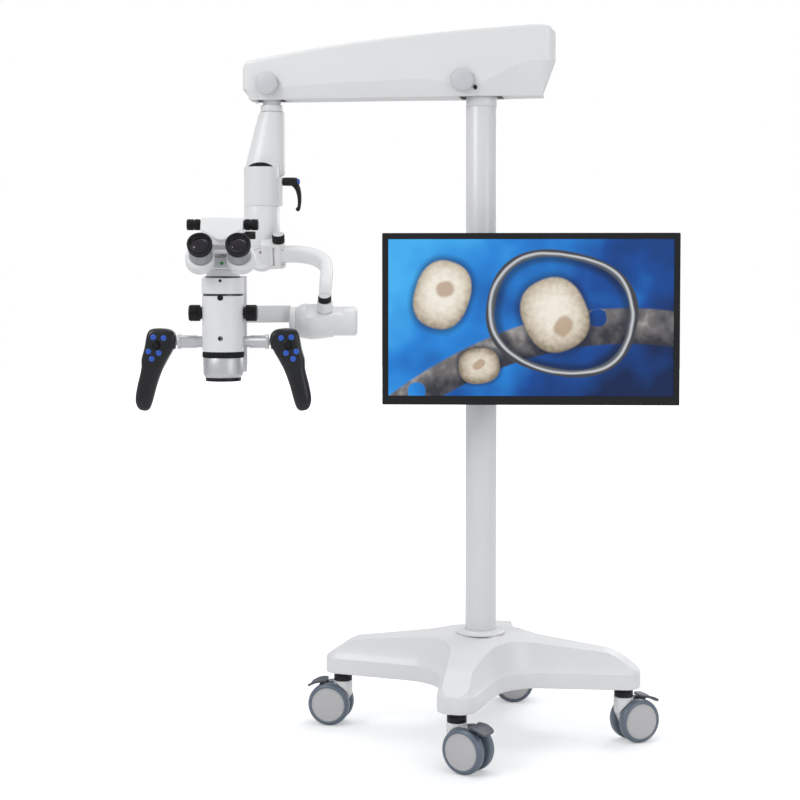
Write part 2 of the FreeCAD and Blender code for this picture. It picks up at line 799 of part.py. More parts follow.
def make_hanger_block():
    """Fork at the front pivot, with the spindle and collar that reach out of the cover."""
    foot = size.hanger_collar_top - size.hanger_collar_height
    post = turned("hanger_post", [
        (0, -52), (15, -52), (15, 0), (size.hanger_collar_radius, 0),
        (size.hanger_collar_radius, size.hanger_collar_height - 1.5),
        (size.hanger_collar_radius - 1.5, size.hanger_collar_height),
        (size.spindle_radius, size.hanger_collar_height),
        (size.spindle_radius, size.cover_bottom - foot + 5.4),
        (0, size.cover_bottom - foot + 5.4)])
    place(post, (size.front_pivot_x, 0, foot))
    top = size.cover_bottom + 5
    wide = size.arm_tube_depth + 2 * size.running_gap + 12
    fork = padded("hanger_fork", "YZ_Plane", [
        (-wide / 2, top, 4), (wide / 2, top, 4),
        (wide / 2, size.pivot_height + size.rod_rise + 11, 4),
        (-wide / 2, size.pivot_height + size.rod_rise + 11, 4)], 26)
    place(fork, (size.front_pivot_x, 0, 0))
    channel = block("hanger_channel", 60, size.arm_tube_depth + 2 * size.running_gap, 100,
                    (size.front_pivot_x, 0, top + 2.2))
    pins = fuse("hanger_pins",
                rod("hanger_pin", size.pivot_pin_radius, size.cover_depth_front + 16,
                    (size.front_pivot_x, -size.cover_depth_front / 2 - 8,
                     size.pivot_height), "Y"),
                rod("hanger_rod_pin", size.rod_radius, wide,
                    (size.front_pivot_x, -wide / 2, size.pivot_height + size.rod_rise),
                    "Y"))
    node(fuse("hanger_whole",
              cut("hanger_forked", fuse("hanger_solid", post, fork), channel), pins),
         "hanger_block")


def cover_half_depth(x):
    """Half of the cover's depth at a pivot, where its sides run straight from the left end."""
    share = (x - size.cover_left) / (size.cover_shoulder_x - size.cover_left)
    return (size.cover_depth_front + (size.cover_depth_rear - size.cover_depth_front)
            * share) / 2 + 0.7


def make_beam_knobs():
    """Friction knobs on the ends of the two pivot pins."""
    for name, x, half in (("rear", size.rear_pivot_x, size.cover_depth_rear / 2),
                          ("front", size.front_pivot_x,
                           cover_half_depth(size.front_pivot_x))):
        r = size.beam_knob_radius
        w = size.beam_knob_length
        knob = turned(f"{name}_knob", [
            (0, 9), (size.pivot_pin_radius + size.running_gap, 9),
            (size.pivot_pin_radius + size.running_gap, 0), (r - 2, 0), (r, 2), (r, w - 5),
            (r - 2.5, w - 2), (r - 8, w - 0.6), (0, w)])
        turn = FreeCAD.Rotation(X_AXIS, 90)
        place(knob, (x, -half - size.running_gap, size.pivot_height), turn)
        node(knob, f"beam_{name}_knob")


def make_hanger_arm():
    """Tapered neck casting that ends in the clamp sleeve."""
    neck_top = size.hanger_collar_top - size.hanger_collar_height - size.running_gap
    x = size.front_pivot_x
    sleeve = view_frame.multVec(Vec(size.sleeve_x.value, size.sleeve_y.value, 0))
    # Neck sections: height, centre shift towards the sleeve (share), half widths in X and Y
    levels = ((neck_top.value, 0.0, 23, 23), (neck_top.value - 12, 0.03, 25, 24),
              (neck_top.value - 60, 0.35, 33, 27), (size.sleeve_top.value + 6, 0.72, 39, 32),
              (size.sleeve_top.value - 24, 0.80, 40, 34))
    start = Vec(x.value, 0, 0)
    wires = []
    for height, share, half_x, half_y in levels:
        centre = start + (sleeve - start) * share + Vec(0, 0, height)
        circle = Part.Ellipse(Vec(0, 0, 0), max(half_x, half_y) + 0.01, min(half_x, half_y))
        wire = Part.Wire([circle.toShape()])
        wire.Placement = FreeCAD.Placement(centre, view_frame.Rotation)
        wires.append(wire)
    neck = Part.makeLoft(wires, True, False)
    high = size.sleeve_top.value - size.sleeve_bottom.value
    outer = Part.makeCylinder(size.sleeve_radius.value, high,
                              Vec(sleeve.x, sleeve.y, size.sleeve_bottom.value))
    bore = Part.makeCylinder(size.sleeve_bore.value, high + 40,
                             Vec(sleeve.x, sleeve.y, size.sleeve_bottom.value - 1))
    below = Part.makeCylinder(size.sleeve_radius.value + 0.2, high - 26,
                              Vec(sleeve.x, sleeve.y, size.sleeve_bottom.value - 1))
    post_room = Part.makeCylinder(15 + size.pin_gap.value, 60,
                                  Vec(x.value, 0, neck_top.value - 54))
    ear = Part.makeBox(12, 30, 62, Vec(size.sleeve_radius.value - 6, -15, 0))
    ear.Placement = view_frame.multiply(
        frame_at(size.sleeve_x, size.sleeve_y, size.sleeve_bottom + 2))
    slit = Part.makeBox(30, 2.5, 70, Vec(size.sleeve_bore.value - 2, -1.25, -1))
    slit.Placement = ear.Placement
    lever_bore = Part.makeCylinder(4 + size.pin_gap.value, 40, Vec(0, 0, -30), X_AXIS)
    lever_bore.Placement = view_frame.multiply(
        frame_at(size.sleeve_x + size.sleeve_radius + 6.01, size.sleeve_y,
                 size.lever_height))
    whole = neck.cut(below).fuse([outer, ear]).cut(bore).cut(post_room).cut(slit)
    casting = doc.addObject("Part::Feature", "hanger_casting")
    casting.Shape = whole.removeSplitter()
    node(casting, "hanger_arm")


def make_clamp_lever():
    """Lever with a black barrel, a blue push button and a drooping arm with a ball end."""
    r = size.lever_barrel_radius
    barrel = rod("lever_barrel", r, 33, (0, 0, 0), "X")
    button = taper("lever_button", 6.5, 5.5, 6, (33, 0, 0), "X")
    arm = padded("lever_arm", "XZ_Plane", [
        (24, 5), (31, 5, 3), (38, -22, 14), (38, -57), (33, -57), (32, -24, 14),
        (24, -6)], 9)
    ball = doc.addObject("Part::Sphere", "lever_ball")
    bind(ball, Radius=5)
    place(ball, (34, 0, -60))
    lever = fuse("lever_whole", barrel, button, arm, ball)
    frame = view_frame.multiply(frame_at(
        size.sleeve_x + size.sleeve_radius + 6 + size.running_gap, size.sleeve_y,
        size.lever_height))
    node(lever, "clamp_lever", frame)


def make_knuckle():
    """Turning knuckle with its spindle in the sleeve, side drum and lug for the arm's hub."""
    foot = size.knuckle_bottom
    top = size.sleeve_bottom - size.running_gap - foot
    spindle = size.sleeve_bore - size.pin_gap
    r = size.sleeve_radius
    body = turned("knuckle_body", [
        (0, -24), (r - 16, -22), (r - 5, -12), (r, 0), (r, top), (spindle, top),
        (spindle, top + 70), (0, top + 70)])
    place(body, (size.sleeve_x, size.sleeve_y, foot))
    drum = turned("knuckle_drum", [
        (0, 0), (size.drum_radius, 0), (size.drum_radius, 42), (size.drum_radius - 3, 44),
        (size.drum_radius - 5, 42), (0, 42)])
    place(drum, (size.sleeve_x, size.sleeve_y + 10, size.drum_height),
          FreeCAD.Rotation(X_AXIS, 90))
    tie = block("knuckle_tie", 2 * size.drum_radius - 8, 34, 40,
                (size.sleeve_x, size.sleeve_y - 8, size.drum_height))
    lean = FreeCAD.Rotation(X_AXIS, size.arm_incline.value)
    cheeks = []
    gap = size.hub_height / 2 + size.running_gap
    for number, start in enumerate((gap, -gap - 7)):
        cheek = padded(f"knuckle_cheek_{number}", "XY_Plane", [
            (-38, -16, 6), (0, -13.9, 12), (13.9, -13.9, 13.8), (13.9, 13.9, 13.8),
            (0, 13.9, 12), (-38, 16, 6)], 7)
        cheeks.append(place(cheek, (0, 0, start + 3.5)))
    pin = rod("knuckle_pin", size.link_pin_radius, 2 * gap + 14 + 12, (0, 0, -gap - 7))
    spine = block("knuckle_spine", 16, 30, 2 * gap + 14, (-30, 0, -gap - 7))
    clevis = fuse("knuckle_clevis", spine, pin, *cheeks)
    place(clevis, (size.hub_x, size.hub_y, size.hub_z), lean)
    node(fuse("knuckle_whole", body, drum, tie, clevis), "lower_knuckle", view_frame)


def make_link_arm():
    """Curved coupling arm in its leaning plane, from the hub to the seat on the bulb."""
    bar = padded("link_bar", "XY_Plane", [
        (0, size.link_width / 2), (size.link_run_x + size.link_width / 2,
                                   size.link_width / 2, size.link_bend_radius),
        (size.link_run_x + size.link_width / 2, -size.link_run_forward),
        (size.link_run_x - size.link_width / 2, -size.link_run_forward),
        (size.link_run_x - size.link_width / 2, -size.link_width / 2,
         size.link_bend_radius - size.link_width + 4),
        (0, -size.link_width / 2)], size.link_height)
    hub = rod("link_hub", size.hub_radius, size.hub_height, (0, 0, -size.hub_height / 2))
    drop = size.bulb_drop - land_rise() - size.running_gap
    end_foot = -drop
    end = rod("link_end", size.link_width / 2 + 3, size.link_end_height,
              (size.link_run_x, -size.link_run_forward, end_foot))
    end_arm = block("link_end_arm", size.link_width, 52, size.link_end_height,
                    (size.link_run_x, -size.link_run_forward + 26, end_foot))
    cap_room = block("link_cap_room", 60, 60, 60,
                     (size.link_run_x, -size.link_run_forward - 4,
                      end_foot + size.link_end_height))
    bores = fuse("link_bores",
                 rod("link_hub_bore", size.link_pin_radius + size.pin_gap, 80, (0, 0, -40)),
                 rod("link_end_bore", size.link_pin_radius + size.pin_gap, 120,
                     (size.link_run_x, -size.link_run_forward, -60)))
    arm = cut("link_cut", fuse("link_solid", cut("link_bar_cut", bar, cap_room), hub, end,
                               end_arm), bores)
    node(arm, "link_arm", link_frame)


def land_rise():
    """Height of the flat land on top of the bulb above the bulb's axis."""
    return size.bulb_radius * 0.65


def make_link_knobs():
    for label, x, y, foot in (
            ("link_knob", length(0), length(0),
             size.hub_height / 2 + size.running_gap * 2 + 7),
            ("tilt_knob", size.link_run_x, -size.link_run_forward,
             land_rise() - size.bulb_drop + size.link_end_height + size.running_gap * 2)):
        r = size.link_knob_radius
        high = size.link_knob_height
        if label == "tilt_knob":
            high = high - 6
        knob = turned(label + "_turned", [
            (size.link_pin_radius + size.running_gap, 0), (r - 1, 0), (r, 1), (r, high - 1.5),
            (r - 1.5, high), (0, high), (0, 12.5), (size.link_pin_radius + size.running_gap,
                                                    12.5)])
        place(knob, (x, y, foot))
        node(knob, label, link_frame)


def bulb_point():
    """Centre of the tilt bulb in the turned frame: on the axis of the arm's end."""
    lean = math.radians(size.arm_incline.value)
    forward = size.link_run_forward.value
    drop = size.bulb_drop.value
    y = size.hub_y.value - forward * math.cos(lean) + drop * math.sin(lean)
    z = size.hub_z.value - forward * math.sin(lean) - drop * math.cos(lean)
    return y, z


def make_bulb():
    """Tilt bulb: turned shell with a flat land above, end cylinder and pivot pin."""
    y, z = bulb_point()
    r = size.bulb_radius
    long = size.bulb_right - size.bulb_left
    profile = turned("bulb_turned", [
        (0, 0), (r * 0.75, 0), (r * 0.93, long * 0.16), (r, long * 0.40),
        (r * 0.97, long * 0.62), (r * 0.85, long), (size.bulb_end_radius, long + 1),
        (size.bulb_end_radius, size.bulb_end - size.bulb_left - 4),
        (size.bulb_end_radius - 4, size.bulb_end - size.bulb_left),
        (0, size.bulb_end - size.bulb_left)])
    place(profile, (size.bulb_left, y, z), ALONG["X"])
    lean = FreeCAD.Rotation(X_AXIS, size.arm_incline.value)
    land = block("bulb_land_room", 2 * (size.link_width / 2 + 26), 120, 60, (0, 0, land_rise()))
    seat = group("bulb_land_cut", land)
    place(seat, (size.hub_x + size.link_run_x, y, z), lean)
    pin = rod("bulb_pin", size.link_pin_radius,
              size.link_end_height + size.running_gap + 12, (0, 0, land_rise() - 2))
    pins = group("bulb_pin_set", pin)
    place(pins, (size.hub_x + size.link_run_x, y, z), lean)
    socket = rod("bulb_socket", size.yoke_pin_radius + size.pin_gap, 30,
                 (size.bulb_left - 1, y, z), "X")
    shell = cut("bulb_cut", profile, fuse("bulb_voids", seat, socket))
    node(fuse("bulb_whole", shell, pins), "tilt_housing", view_frame)


def make_yoke():
    """Ring on the bulb's axis, the arm to the microscope and the plate behind its barrel."""
    y, z = bulb_point()
    left = size.bulb_left - size.running_gap - size.yoke_ring_width
    r = size.yoke_ring_radius
    ring = turned("yoke_ring", [
        (0, 0), (r - 3, 0), (r, 2), (r, size.yoke_ring_width - 1),
        (r - 1, size.yoke_ring_width), (size.yoke_pin_radius, size.yoke_ring_width),
        (size.yoke_pin_radius, size.yoke_ring_width + 27), (0, size.yoke_ring_width + 27)])
    place(ring, (left, y, z), ALONG["X"])
    plate_y = size.scope_y + size.barrel_radius + size.rear_plate_thickness / 2 - 4
    plate_right = size.scope_x + size.rear_plate_width / 2
    arm = padded("yoke_bar", "XY_Plane", [
        (left + 2, y + size.yoke_thickness / 2), (left + 2, y - size.yoke_thickness / 2),
        (left - 14, y - size.yoke_thickness / 2, 10),
        (plate_right - 14, plate_y - 2, 10),
        (size.scope_x + 10, plate_y - 2), (size.scope_x + 10, plate_y + 14, 6),
        (plate_right - 6, plate_y + 16, 16), (left - 22, y + size.yoke_thickness / 2, 10)],
        size.yoke_height)
    place(arm, (0, 0, z + size.yoke_rise))
    plate = block("yoke_plate", size.rear_plate_width, size.rear_plate_thickness,
                  size.rear_plate_top - size.rear_plate_bottom,
                  (size.scope_x, plate_y, size.rear_plate_bottom))
    room = rod("yoke_barrel_room", size.barrel_radius + 0.8 + size.pin_gap, 400,
               (size.scope_x, size.scope_y, 700))
    node(cut("yoke_whole", fuse("yoke_solid", ring, arm, plate), room), "yoke_arm",
         view_frame)


def make_scope():
    """Barrel, focus ring, objective cell and lens, all turned about the optical axis."""
    r = size.barrel_radius
    low = size.barrel_bottom
    top = size.barrel_top
    groove = size.barrel_groove_top
    spigot_foot = low - size.focus_ring_height
    barrel = turned("barrel_turned", [
        (0, spigot_foot), (size.focus_spigot_radius, spigot_foot),
        (size.focus_spigot_radius, low), (r, low), (r, groove - size.barrel_groove_width),
        (r - 1.6, groove - size.barrel_groove_width), (r - 1.6, groove), (r + 0.8, groove),
        (r + 0.8, top - 1), (r - 0.2, top), (0, top)])
    voids = fuse("barrel_voids",
                 rod("barrel_shaft_bore", size.magnifier_shaft_radius + size.pin_gap, 120,
                     (-60, 0, size.magnifier_height), "X"),
                 rod("barrel_bar_bore", size.bar_pin_radius + size.pin_gap, 120,
                     (-60, 0, size.bar_height), "X"))
    node(cut("barrel_whole", barrel, voids), "scope_body", scope_frame)

    f = size.focus_ring_radius
    gap = size.running_gap
    ring = turned("focus_turned", [
        (size.focus_spigot_radius + gap, spigot_foot + gap), (f - 1, spigot_foot + gap),
        (f, spigot_foot + gap + 1), (f, low - gap - 1), (f - 1, low - gap),
        (size.focus_spigot_radius + gap, low - gap)])
    node(ring, "focus_ring", scope_frame)

    c = size.cell_radius
    foot = spigot_foot - size.cell_height
    seat = size.filter_seat_radius
    lip = foot - size.lens_ring_height
    lens_foot = lip + size.filter_seat_depth + 1
    cell = turned("cell_turned", [
        (seat, lip), (size.lens_ring_radius, lip), (size.lens_ring_radius, foot),
        (c - 3, foot), (c, foot + 15), (c, spigot_foot), (0, spigot_foot),
        (0, lens_foot + size.lens_thickness + 6),
        (size.lens_radius, lens_foot + size.lens_thickness),
        (size.lens_radius, lip + size.filter_seat_depth),
        (seat, lip + size.filter_seat_depth)])
    node(cell, "objective_cell", scope_frame)
    edge = size.lens_radius - size.pin_gap
    lens = turned("lens_turned", [
        (0, lens_foot - 0.8), (edge * 0.6, lens_foot), (edge, lens_foot + 1.4),
        (edge, lens_foot + size.lens_thickness), (0, lens_foot + size.lens_thickness)])
    node(lens, "objective_lens", scope_frame)


def make_magnifier():
    """Two ribbed knobs on one shaft through the barrel."""
    start = size.barrel_radius + size.running_gap + 0.4
    r = size.magnifier_radius
    w = size.magnifier_length
    items = [rod("magnifier_shaft", size.magnifier_shaft_radius, 2 * start + 20,
                 (-start - 10, 0, size.magnifier_height), "X")]
    for side in (1, -1):
        knob = turned(f"magnifier_knob_{'ab'[side > 0]}", [
            (0, 0), (r - 4, 0), (r - 4, 3), (r, 4), (r, w - 1.5), (r - 1.5, w), (0, w)])
        turn = FreeCAD.Rotation(Y_AXIS, 90 * side)
        items.append(place(knob, (side * start, 0, size.magnifier_height), turn))
    node(fuse("magnifier_whole", *items), "magnification_knobs", scope_frame)


def make_handle_bars():
    """Two satin bars with end rings, bolted through the barrel on one tie rod."""
    items = [rod("bar_tie", size.bar_pin_radius, 2 * (size.bar_reach + 30),
                 (-size.bar_reach - 30, 0, size.bar_height), "X")]
    for side in (1, -1):
        start = size.barrel_radius + size.pin_gap
        r = size.bar_radius
        reach = size.bar_reach - size.barrel_radius - 11
        bar = turned(f"bar_{'ab'[side > 0]}", [
            (0, -6), (r - 1.5, -6), (r - 1.5, 12), (r, 12), (r, reach - 6), (r + 2, reach - 6),
            (r + 2, reach), (0, reach)])
        turn = FreeCAD.Rotation(Y_AXIS, 90 * side)
        items.append(place(bar, (side * start, 0, size.bar_height), turn))
    solid = fuse("bars_solid", *items[1:])
    room = rod("bars_room", size.barrel_radius + size.pin_gap, 60, (0, 0, size.bar_height - 30))
    node(fuse("bars_whole", cut("bars_cut", solid, room), items[0]), "handle_bars",
         scope_frame)


# Handle outline on the right side: distance from the barrel's axis, height, rounding
HANDLE = ((96, 868, 7), (96, 893, 9), (110, 905, 9), (151, 905, 12), (164, 846, 30),
          (181, 762, 14), (164, 737, 10), (149, 742, 9), (139, 785, 40),
          (124, 826, 60))
# Buttons on the handle's face: distance from the barrel's axis and height
BUTTONS = ((120, 887.5), (141, 889), (130, 857), (151, 860), (144.5, 845))
STICK = (135, 873)


def make_handle(side, name):
    """Splayed handle with button wells, on the end of its bar."""
    front = -size.handle_depth / 2
    corners = [(side * x, z, r) for x, z, r in HANDLE]
    grip = padded(f"handle_{name}_grip", "XZ_Plane", corners, size.handle_depth)
    rounded(grip, f"handle_{name}_soft", 4, lambda edge: abs(
        edge.CenterOfMass.y) > size.handle_depth.value / 2 - 0.1)
    wells = []
    for number, (x, z) in enumerate(BUTTONS):
        wells.append(rod(f"handle_{name}_well_{number}", size.button_radius + size.running_gap,
                         size.button_stem + size.button_travel + size.running_gap + 1,
                         (side * x, front - 1, z), "Y"))
    wells.append(rod(f"handle_{name}_stick_well", size.stick_radius + 1.5, 7,
                     (side * STICK[0], front - 1, STICK[1]), "Y"))
    wells.append(rod(f"handle_{name}_bore", size.bar_pin_radius + size.pin_gap, 60,
                     (side * 105 - 30, 0, size.bar_height), "X"))
    wells.append(rod(f"handle_{name}_ring_room", size.bar_radius + 2.5, 60,
                     (side * (size.bar_reach - 40.5) - 30, 0, size.bar_height), "X"))
    node(cut(f"handle_{name}_whole", grip, fuse(f"handle_{name}_wells", *wells)),
         f"handle_{name}", scope_frame)
    for number, (x, z) in enumerate(BUTTONS, start=1):
        r = size.button_radius
        button = turned(f"button_{name}_turned_{number}", [
            (0, 0), (r, 0), (r, size.button_height), (r * 0.75, size.button_height + 1.3),
            (0, size.button_height + 1.9)])
        spot = (side * x, front + size.button_stem, z)
        place(button, spot, FreeCAD.Rotation(X_AXIS, 90))
        node(button, f"button_{name}_{number}", scope_frame)
    s = size.stick_radius
    stick = turned(f"stick_{name}_turned", [
        (0, 0), (s * 0.25, s * 0.067), (s * 0.433, s * 0.25), (s * 0.5, s * 0.5),
        (s * 0.8, 7.4), (s, 9), (s * 0.9, 11), (0, 12)])
    place(stick, (side * STICK[0], front + size.stick_depth, STICK[1]),
          FreeCAD.Rotation(X_AXIS, 90))
    node(stick, f"joystick_{name}", scope_frame)


def make_binocular():
    """Neck cone with its hinge, housing with two lobes, eyepieces and spacing knobs."""
    foot = size.barrel_top
    axis = size.binocular_axis_height
    neck = turned("neck_turned", [
        (0, foot), (size.neck_radius + 1, foot), (size.neck_radius + 1, foot + 2.6),
        (size.neck_radius, foot + 3), (size.neck_top_radius, foot + size.neck_height),
        (0, foot + size.neck_height)])
    lug = padded("neck_lug", "YZ_Plane", [
        (-20, foot + 10), (20, foot + 10), (16, axis + 15, 14), (-16, axis + 15, 14)], 26)
    pin = rod("neck_pin", size.binocular_pin_radius, 74, (-37, 0, axis), "X")
    node(fuse("neck_whole", neck, lug, pin), "binocular_base", scope_frame)

    half = size.binocular_width / 2
    top = size.binocular_top
    lean = math.radians(size.eye_incline.value)
    back = size.eyecup_length.value + size.eye_tube_length.value + size.running_gap.value
    face_y = size.eye_forward.value + back * math.cos(lean)
    face_z = size.eye_height.value - back * math.sin(lean)
    shell = padded("binocular_side", "YZ_Plane", [
        (-30, axis - 7), (-6, axis - 12.3), (6, axis - 12.3), (20, axis - 2),
        (34, axis + 22, 14), (30, top - 14, 14),
        (-8, top, 16), (-34, top - 26, 14), (face_y + 30, face_z + 34, 8),
        (face_y + 8, face_z - 20, 8)], size.binocular_width)
    lobes = []
    for side in (1, -1):
        lobe = turned(f"lobe_{'ab'[side > 0]}", [
            (0, 0), (size.lobe_radius - 6, 0), (size.lobe_radius, 8),
            (size.lobe_radius, size.lobe_length - 3), (size.lobe_radius - 3, size.lobe_length),
            (0, size.lobe_length)])
        long = size.lobe_length.value
        place(lobe, (side * size.eye_spacing / 2, face_y + long * math.cos(lean),
                     face_z - long * math.sin(lean)),
              FreeCAD.Rotation(X_AXIS, 90 - size.eye_incline.value))
        lobes.append(lobe)
    housing = fuse("binocular_solid", shell, *lobes)
    rooms = (
        block("binocular_lug_room", 27, 46, 60, (0, 0, axis - 43)),
        rod("binocular_lug_swing", 21, 27, (-13.5, 0, axis), "X"),
        rod("binocular_bore", size.binocular_pin_radius + size.pin_gap, 75,
            (-37.5, 0, axis), "X"),
        rod("binocular_shaft_bore", 4 + size.pin_gap, 120,
            (-60, 0, size.spacing_knob_height), "X"))
    node(carve("binocular_whole", housing, *rooms), "binocular_housing", scope_frame)

    for side, name in ((-1, "left"), (1, "right")):
        tube = size.eye_tube_radius
        cup = size.eyecup_radius
        run = size.eye_tube_length
        end = run + size.eyecup_length
        eye = turned(f"eyepiece_{name}_turned", [
            (0, 0), (tube + 2, 0), (tube + 2, 3), (tube, 3), (tube, run),
            (cup, run + 1), (cup, end - 2), (cup - 2, end), (size.eye_lens_radius + 2, end),
            (size.eye_lens_radius, end - 3), (0, end - 3.6)])
        start_y = face_y - size.running_gap.value * math.cos(lean)
        start_z = face_z + size.running_gap.value * math.sin(lean)
        place(eye, (side * size.eye_spacing / 2, start_y, start_z),
              FreeCAD.Rotation(X_AXIS, 90 - size.eye_incline.value))
        node(eye, f"eyepiece_{name}", scope_frame)

    start = half + size.running_gap
    r = size.spacing_knob_radius
    w = size.spacing_knob_length
    items = [rod("spacing_shaft", 4, 2 * start + 20, (-start - 10, 0,
                                                      size.spacing_knob_height), "X")]
    for side in (1, -1):
        knob = turned(f"spacing_knob_{'ab'[side > 0]}", [
            (0, 0), (r, 0), (r, w - 1.5), (r - 1.5, w), (0, w)])
        items.append(place(knob, (side * start, 0, size.spacing_knob_height),
                           FreeCAD.Rotation(Y_AXIS, 90 * side)))
    node(fuse("spacing_whole", *items), "spacing_knobs", scope_frame)


def make_monitor():
    """Monitor with its screen, tilting bracket and the swing arm round the column."""
    turn = FreeCAD.Rotation(Z_AXIS, size.monitor_turn.value)
    frame = frame_at(size.monitor_centre_x, size.monitor_centre_y, size.monitor_centre_z,
                     turn)
    wide = size.monitor_width
    tall = size.monitor_height
    deep = size.monitor_depth
    slab = padded("monitor_slab", "XZ_Plane", [
        (-wide / 2, -tall / 2, 3), (wide / 2, -tall / 2, 3), (wide / 2, tall / 2, 3),
        (-wide / 2, tall / 2, 3)], deep * 0.45)
    place(slab, (0, deep * 0.225, 0))
    hump = taper_block("monitor_hump", wide - 60, tall - 50, wide - 240, tall - 170,
                       deep * 0.45, deep)
    window = block("monitor_window", wide - 2 * size.monitor_bezel_side,
                   2 * (size.monitor_screen_set + 4),
                   tall - size.monitor_bezel_side - size.monitor_bezel_foot,
                   (0, 0, size.monitor_bezel_foot - tall / 2))
    ears = fuse("monitor_ears", *[
        block(f"monitor_ear_{i}", 8, 26, 34, (x, deep + 10, -17))
        for i, x in enumerate((-26, 26))])
    ear_bore = rod("monitor_ear_bore", 6 + size.pin_gap, 80, (-40, deep + 13, 0), "X")
    housing = cut("monitor_cut", fuse("monitor_solid", slab, hump, ears),
                  fuse("monitor_voids", window, ear_bore))
    node(housing, "monitor_housing", frame)
    glass = block("monitor_glass", wide - 2 * size.monitor_bezel_side - 0.4, 4,
                  tall - size.monitor_bezel_side - size.monitor_bezel_foot - 0.4,
                  (0, size.monitor_screen_set + 2, size.monitor_bezel_foot - tall / 2 + 0.2))
    node(group("monitor_panel", glass), "monitor_screen", frame)

    gap = size.running_gap
    pivot = size.monitor_pivot_gap
    tilt_pin = rod("bracket_tilt_pin", 6, 62, (-31, deep + 13, 0), "X")
    tongue = block("bracket_tongue", 44 - 2 * gap, 24, 26, (0, deep + 18, -13))
    half = size.monitor_post_half
    post = rod("bracket_post", 17, 2 * half, (0, deep + pivot - 13, -half))
    tie = block("bracket_tie", 26, pivot - 32, 26, (0, deep + pivot - 30, -13))
    socket = rod("bracket_bore", size.monitor_pin_radius + size.pin_gap, 60,
                 (0, deep + pivot - 13, -30))
    node(fuse("bracket_whole", cut("bracket_bored", fuse("bracket_solid", tongue, post, tie),
                                   socket), tilt_pin), "monitor_bracket", frame)

    hinge = frame.multVec(Vec(0, deep.value + pivot.value - 13, 0))
    reach = math.hypot(hinge.x, hinge.y)
    heading = math.degrees(math.atan2(hinge.y, hinge.x))
    bore = size.column_radius + size.running_gap
    ring = turned("monitor_ring", [
        (bore, 0), (size.monitor_ring_radius - 1.5, 0), (size.monitor_ring_radius, 1.5),
        (size.monitor_ring_radius, size.monitor_ring_height - 1.5),
        (size.monitor_ring_radius - 1.5, size.monitor_ring_height),
        (bore, size.monitor_ring_height)])
    thick = size.monitor_strut_height - gap
    strut = block("monitor_strut", reach - size.monitor_ring_radius.value + 4, 24, thick,
                  ((reach + size.monitor_ring_radius.value) / 2 - 2, 0, 2))
    pad = rod("monitor_pad", 17, thick, (reach, 0, 2))
    pin = rod("monitor_pin", size.monitor_pin_radius, thick + 2 * half - 2, (reach, 0, 2))
    arm = fuse("monitor_arm_whole", ring, strut, pad, pin)
    low = monitor_ring_foot().value
    arm.Placement = FreeCAD.Placement(Vec(0, 0, low), FreeCAD.Rotation(Z_AXIS, heading))
    node(arm, "monitor_arm")


def taper_block(name, wide, tall, wide_back, tall_back, near, far):
    """Four-sided hump that narrows from the near plane to the far plane in Y."""
    loft = doc.addObject("Part::Loft", name)
    sections = []
    for number, (w, t, y) in enumerate(((wide, tall, near - 1), (wide_back, tall_back, far))):
        sketch = doc.addObject("Sketcher::SketchObject", f"{name}_{number}")
        outline(sketch, [(-w / 2, -t / 2, 12), (w / 2, -t / 2, 12), (w / 2, t / 2, 12),
                         (-w / 2, t / 2, 12)])
        place(sketch, (0, y, 0), FreeCAD.Rotation(X_AXIS, 90))
        sections.append(sketch)
    loft.Sections = sections
    loft.Solid = True
    loft.Ruled = True
    return loft


make_base()
for (castor, heading), spot in zip(CASTORS, castor_spots()):
    make_castor(castor, heading, spot)
make_sockets()
make_column()
make_column_head()
make_balance_arm()
make_cover()
make_parallel_rod()
make_hanger_block()
make_beam_knobs()
make_hanger_arm()
make_clamp_lever()
make_knuckle()
make_link_arm()
make_link_knobs()
make_bulb()
make_yoke()
make_scope()
make_magnifier()
make_handle_bars()
make_handle(-1, "left")
make_handle(1, "right")
make_binocular()
make_monitor()
doc.recompute()

for item in doc.Objects:
    if "Invalid" in item.State or "Error" in item.State:
        raise RuntimeError(f"{item.Name} failed: {item.State}")
for item in finished:
    if item.Shape.isNull() or not item.Shape.isValid() or not item.Shape.Solids:
        raise RuntimeError(f"{item.Label} has no valid shape")
for item in finished:
    item.Shape.exportStep(os.path.join("parts", item.Label + ".step"))
print(len(finished), "nodes written")
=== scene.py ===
from math import copysign, cos, pi, radians, sin, tan

import bmesh
import bpy
from mathutils import Matrix, Vector


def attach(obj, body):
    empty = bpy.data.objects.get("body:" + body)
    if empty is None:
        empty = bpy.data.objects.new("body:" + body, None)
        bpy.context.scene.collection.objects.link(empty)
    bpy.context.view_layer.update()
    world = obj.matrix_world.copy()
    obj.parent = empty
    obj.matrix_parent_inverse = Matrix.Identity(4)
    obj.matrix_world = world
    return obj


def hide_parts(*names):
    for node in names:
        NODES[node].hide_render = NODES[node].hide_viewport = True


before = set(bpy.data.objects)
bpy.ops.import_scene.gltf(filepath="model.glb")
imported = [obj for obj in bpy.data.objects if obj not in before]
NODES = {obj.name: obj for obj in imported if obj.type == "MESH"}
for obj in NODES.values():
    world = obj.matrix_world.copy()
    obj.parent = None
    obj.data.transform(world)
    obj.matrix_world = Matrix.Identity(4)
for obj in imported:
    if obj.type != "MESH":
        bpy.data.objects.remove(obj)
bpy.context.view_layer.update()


# Turn of the base under the column, in degrees
BASE_TURN = -5

# How far out the castors stand on the side legs and on the other two, in millimetres
SIDE_REACH = 316
FRONT_REACH = 277

# Castor axle behind its swivel axis and above the floor, in metres
AXLE_TRAIL = 0.028
AXLE_HEIGHT = 0.0475

# Clamp sleeve of the hanger, and the arm's front pivot above it, in metres
SLEEVE_X = -0.484
SLEEVE_Y = 0.024
FRONT_PIVOT_X = -0.469

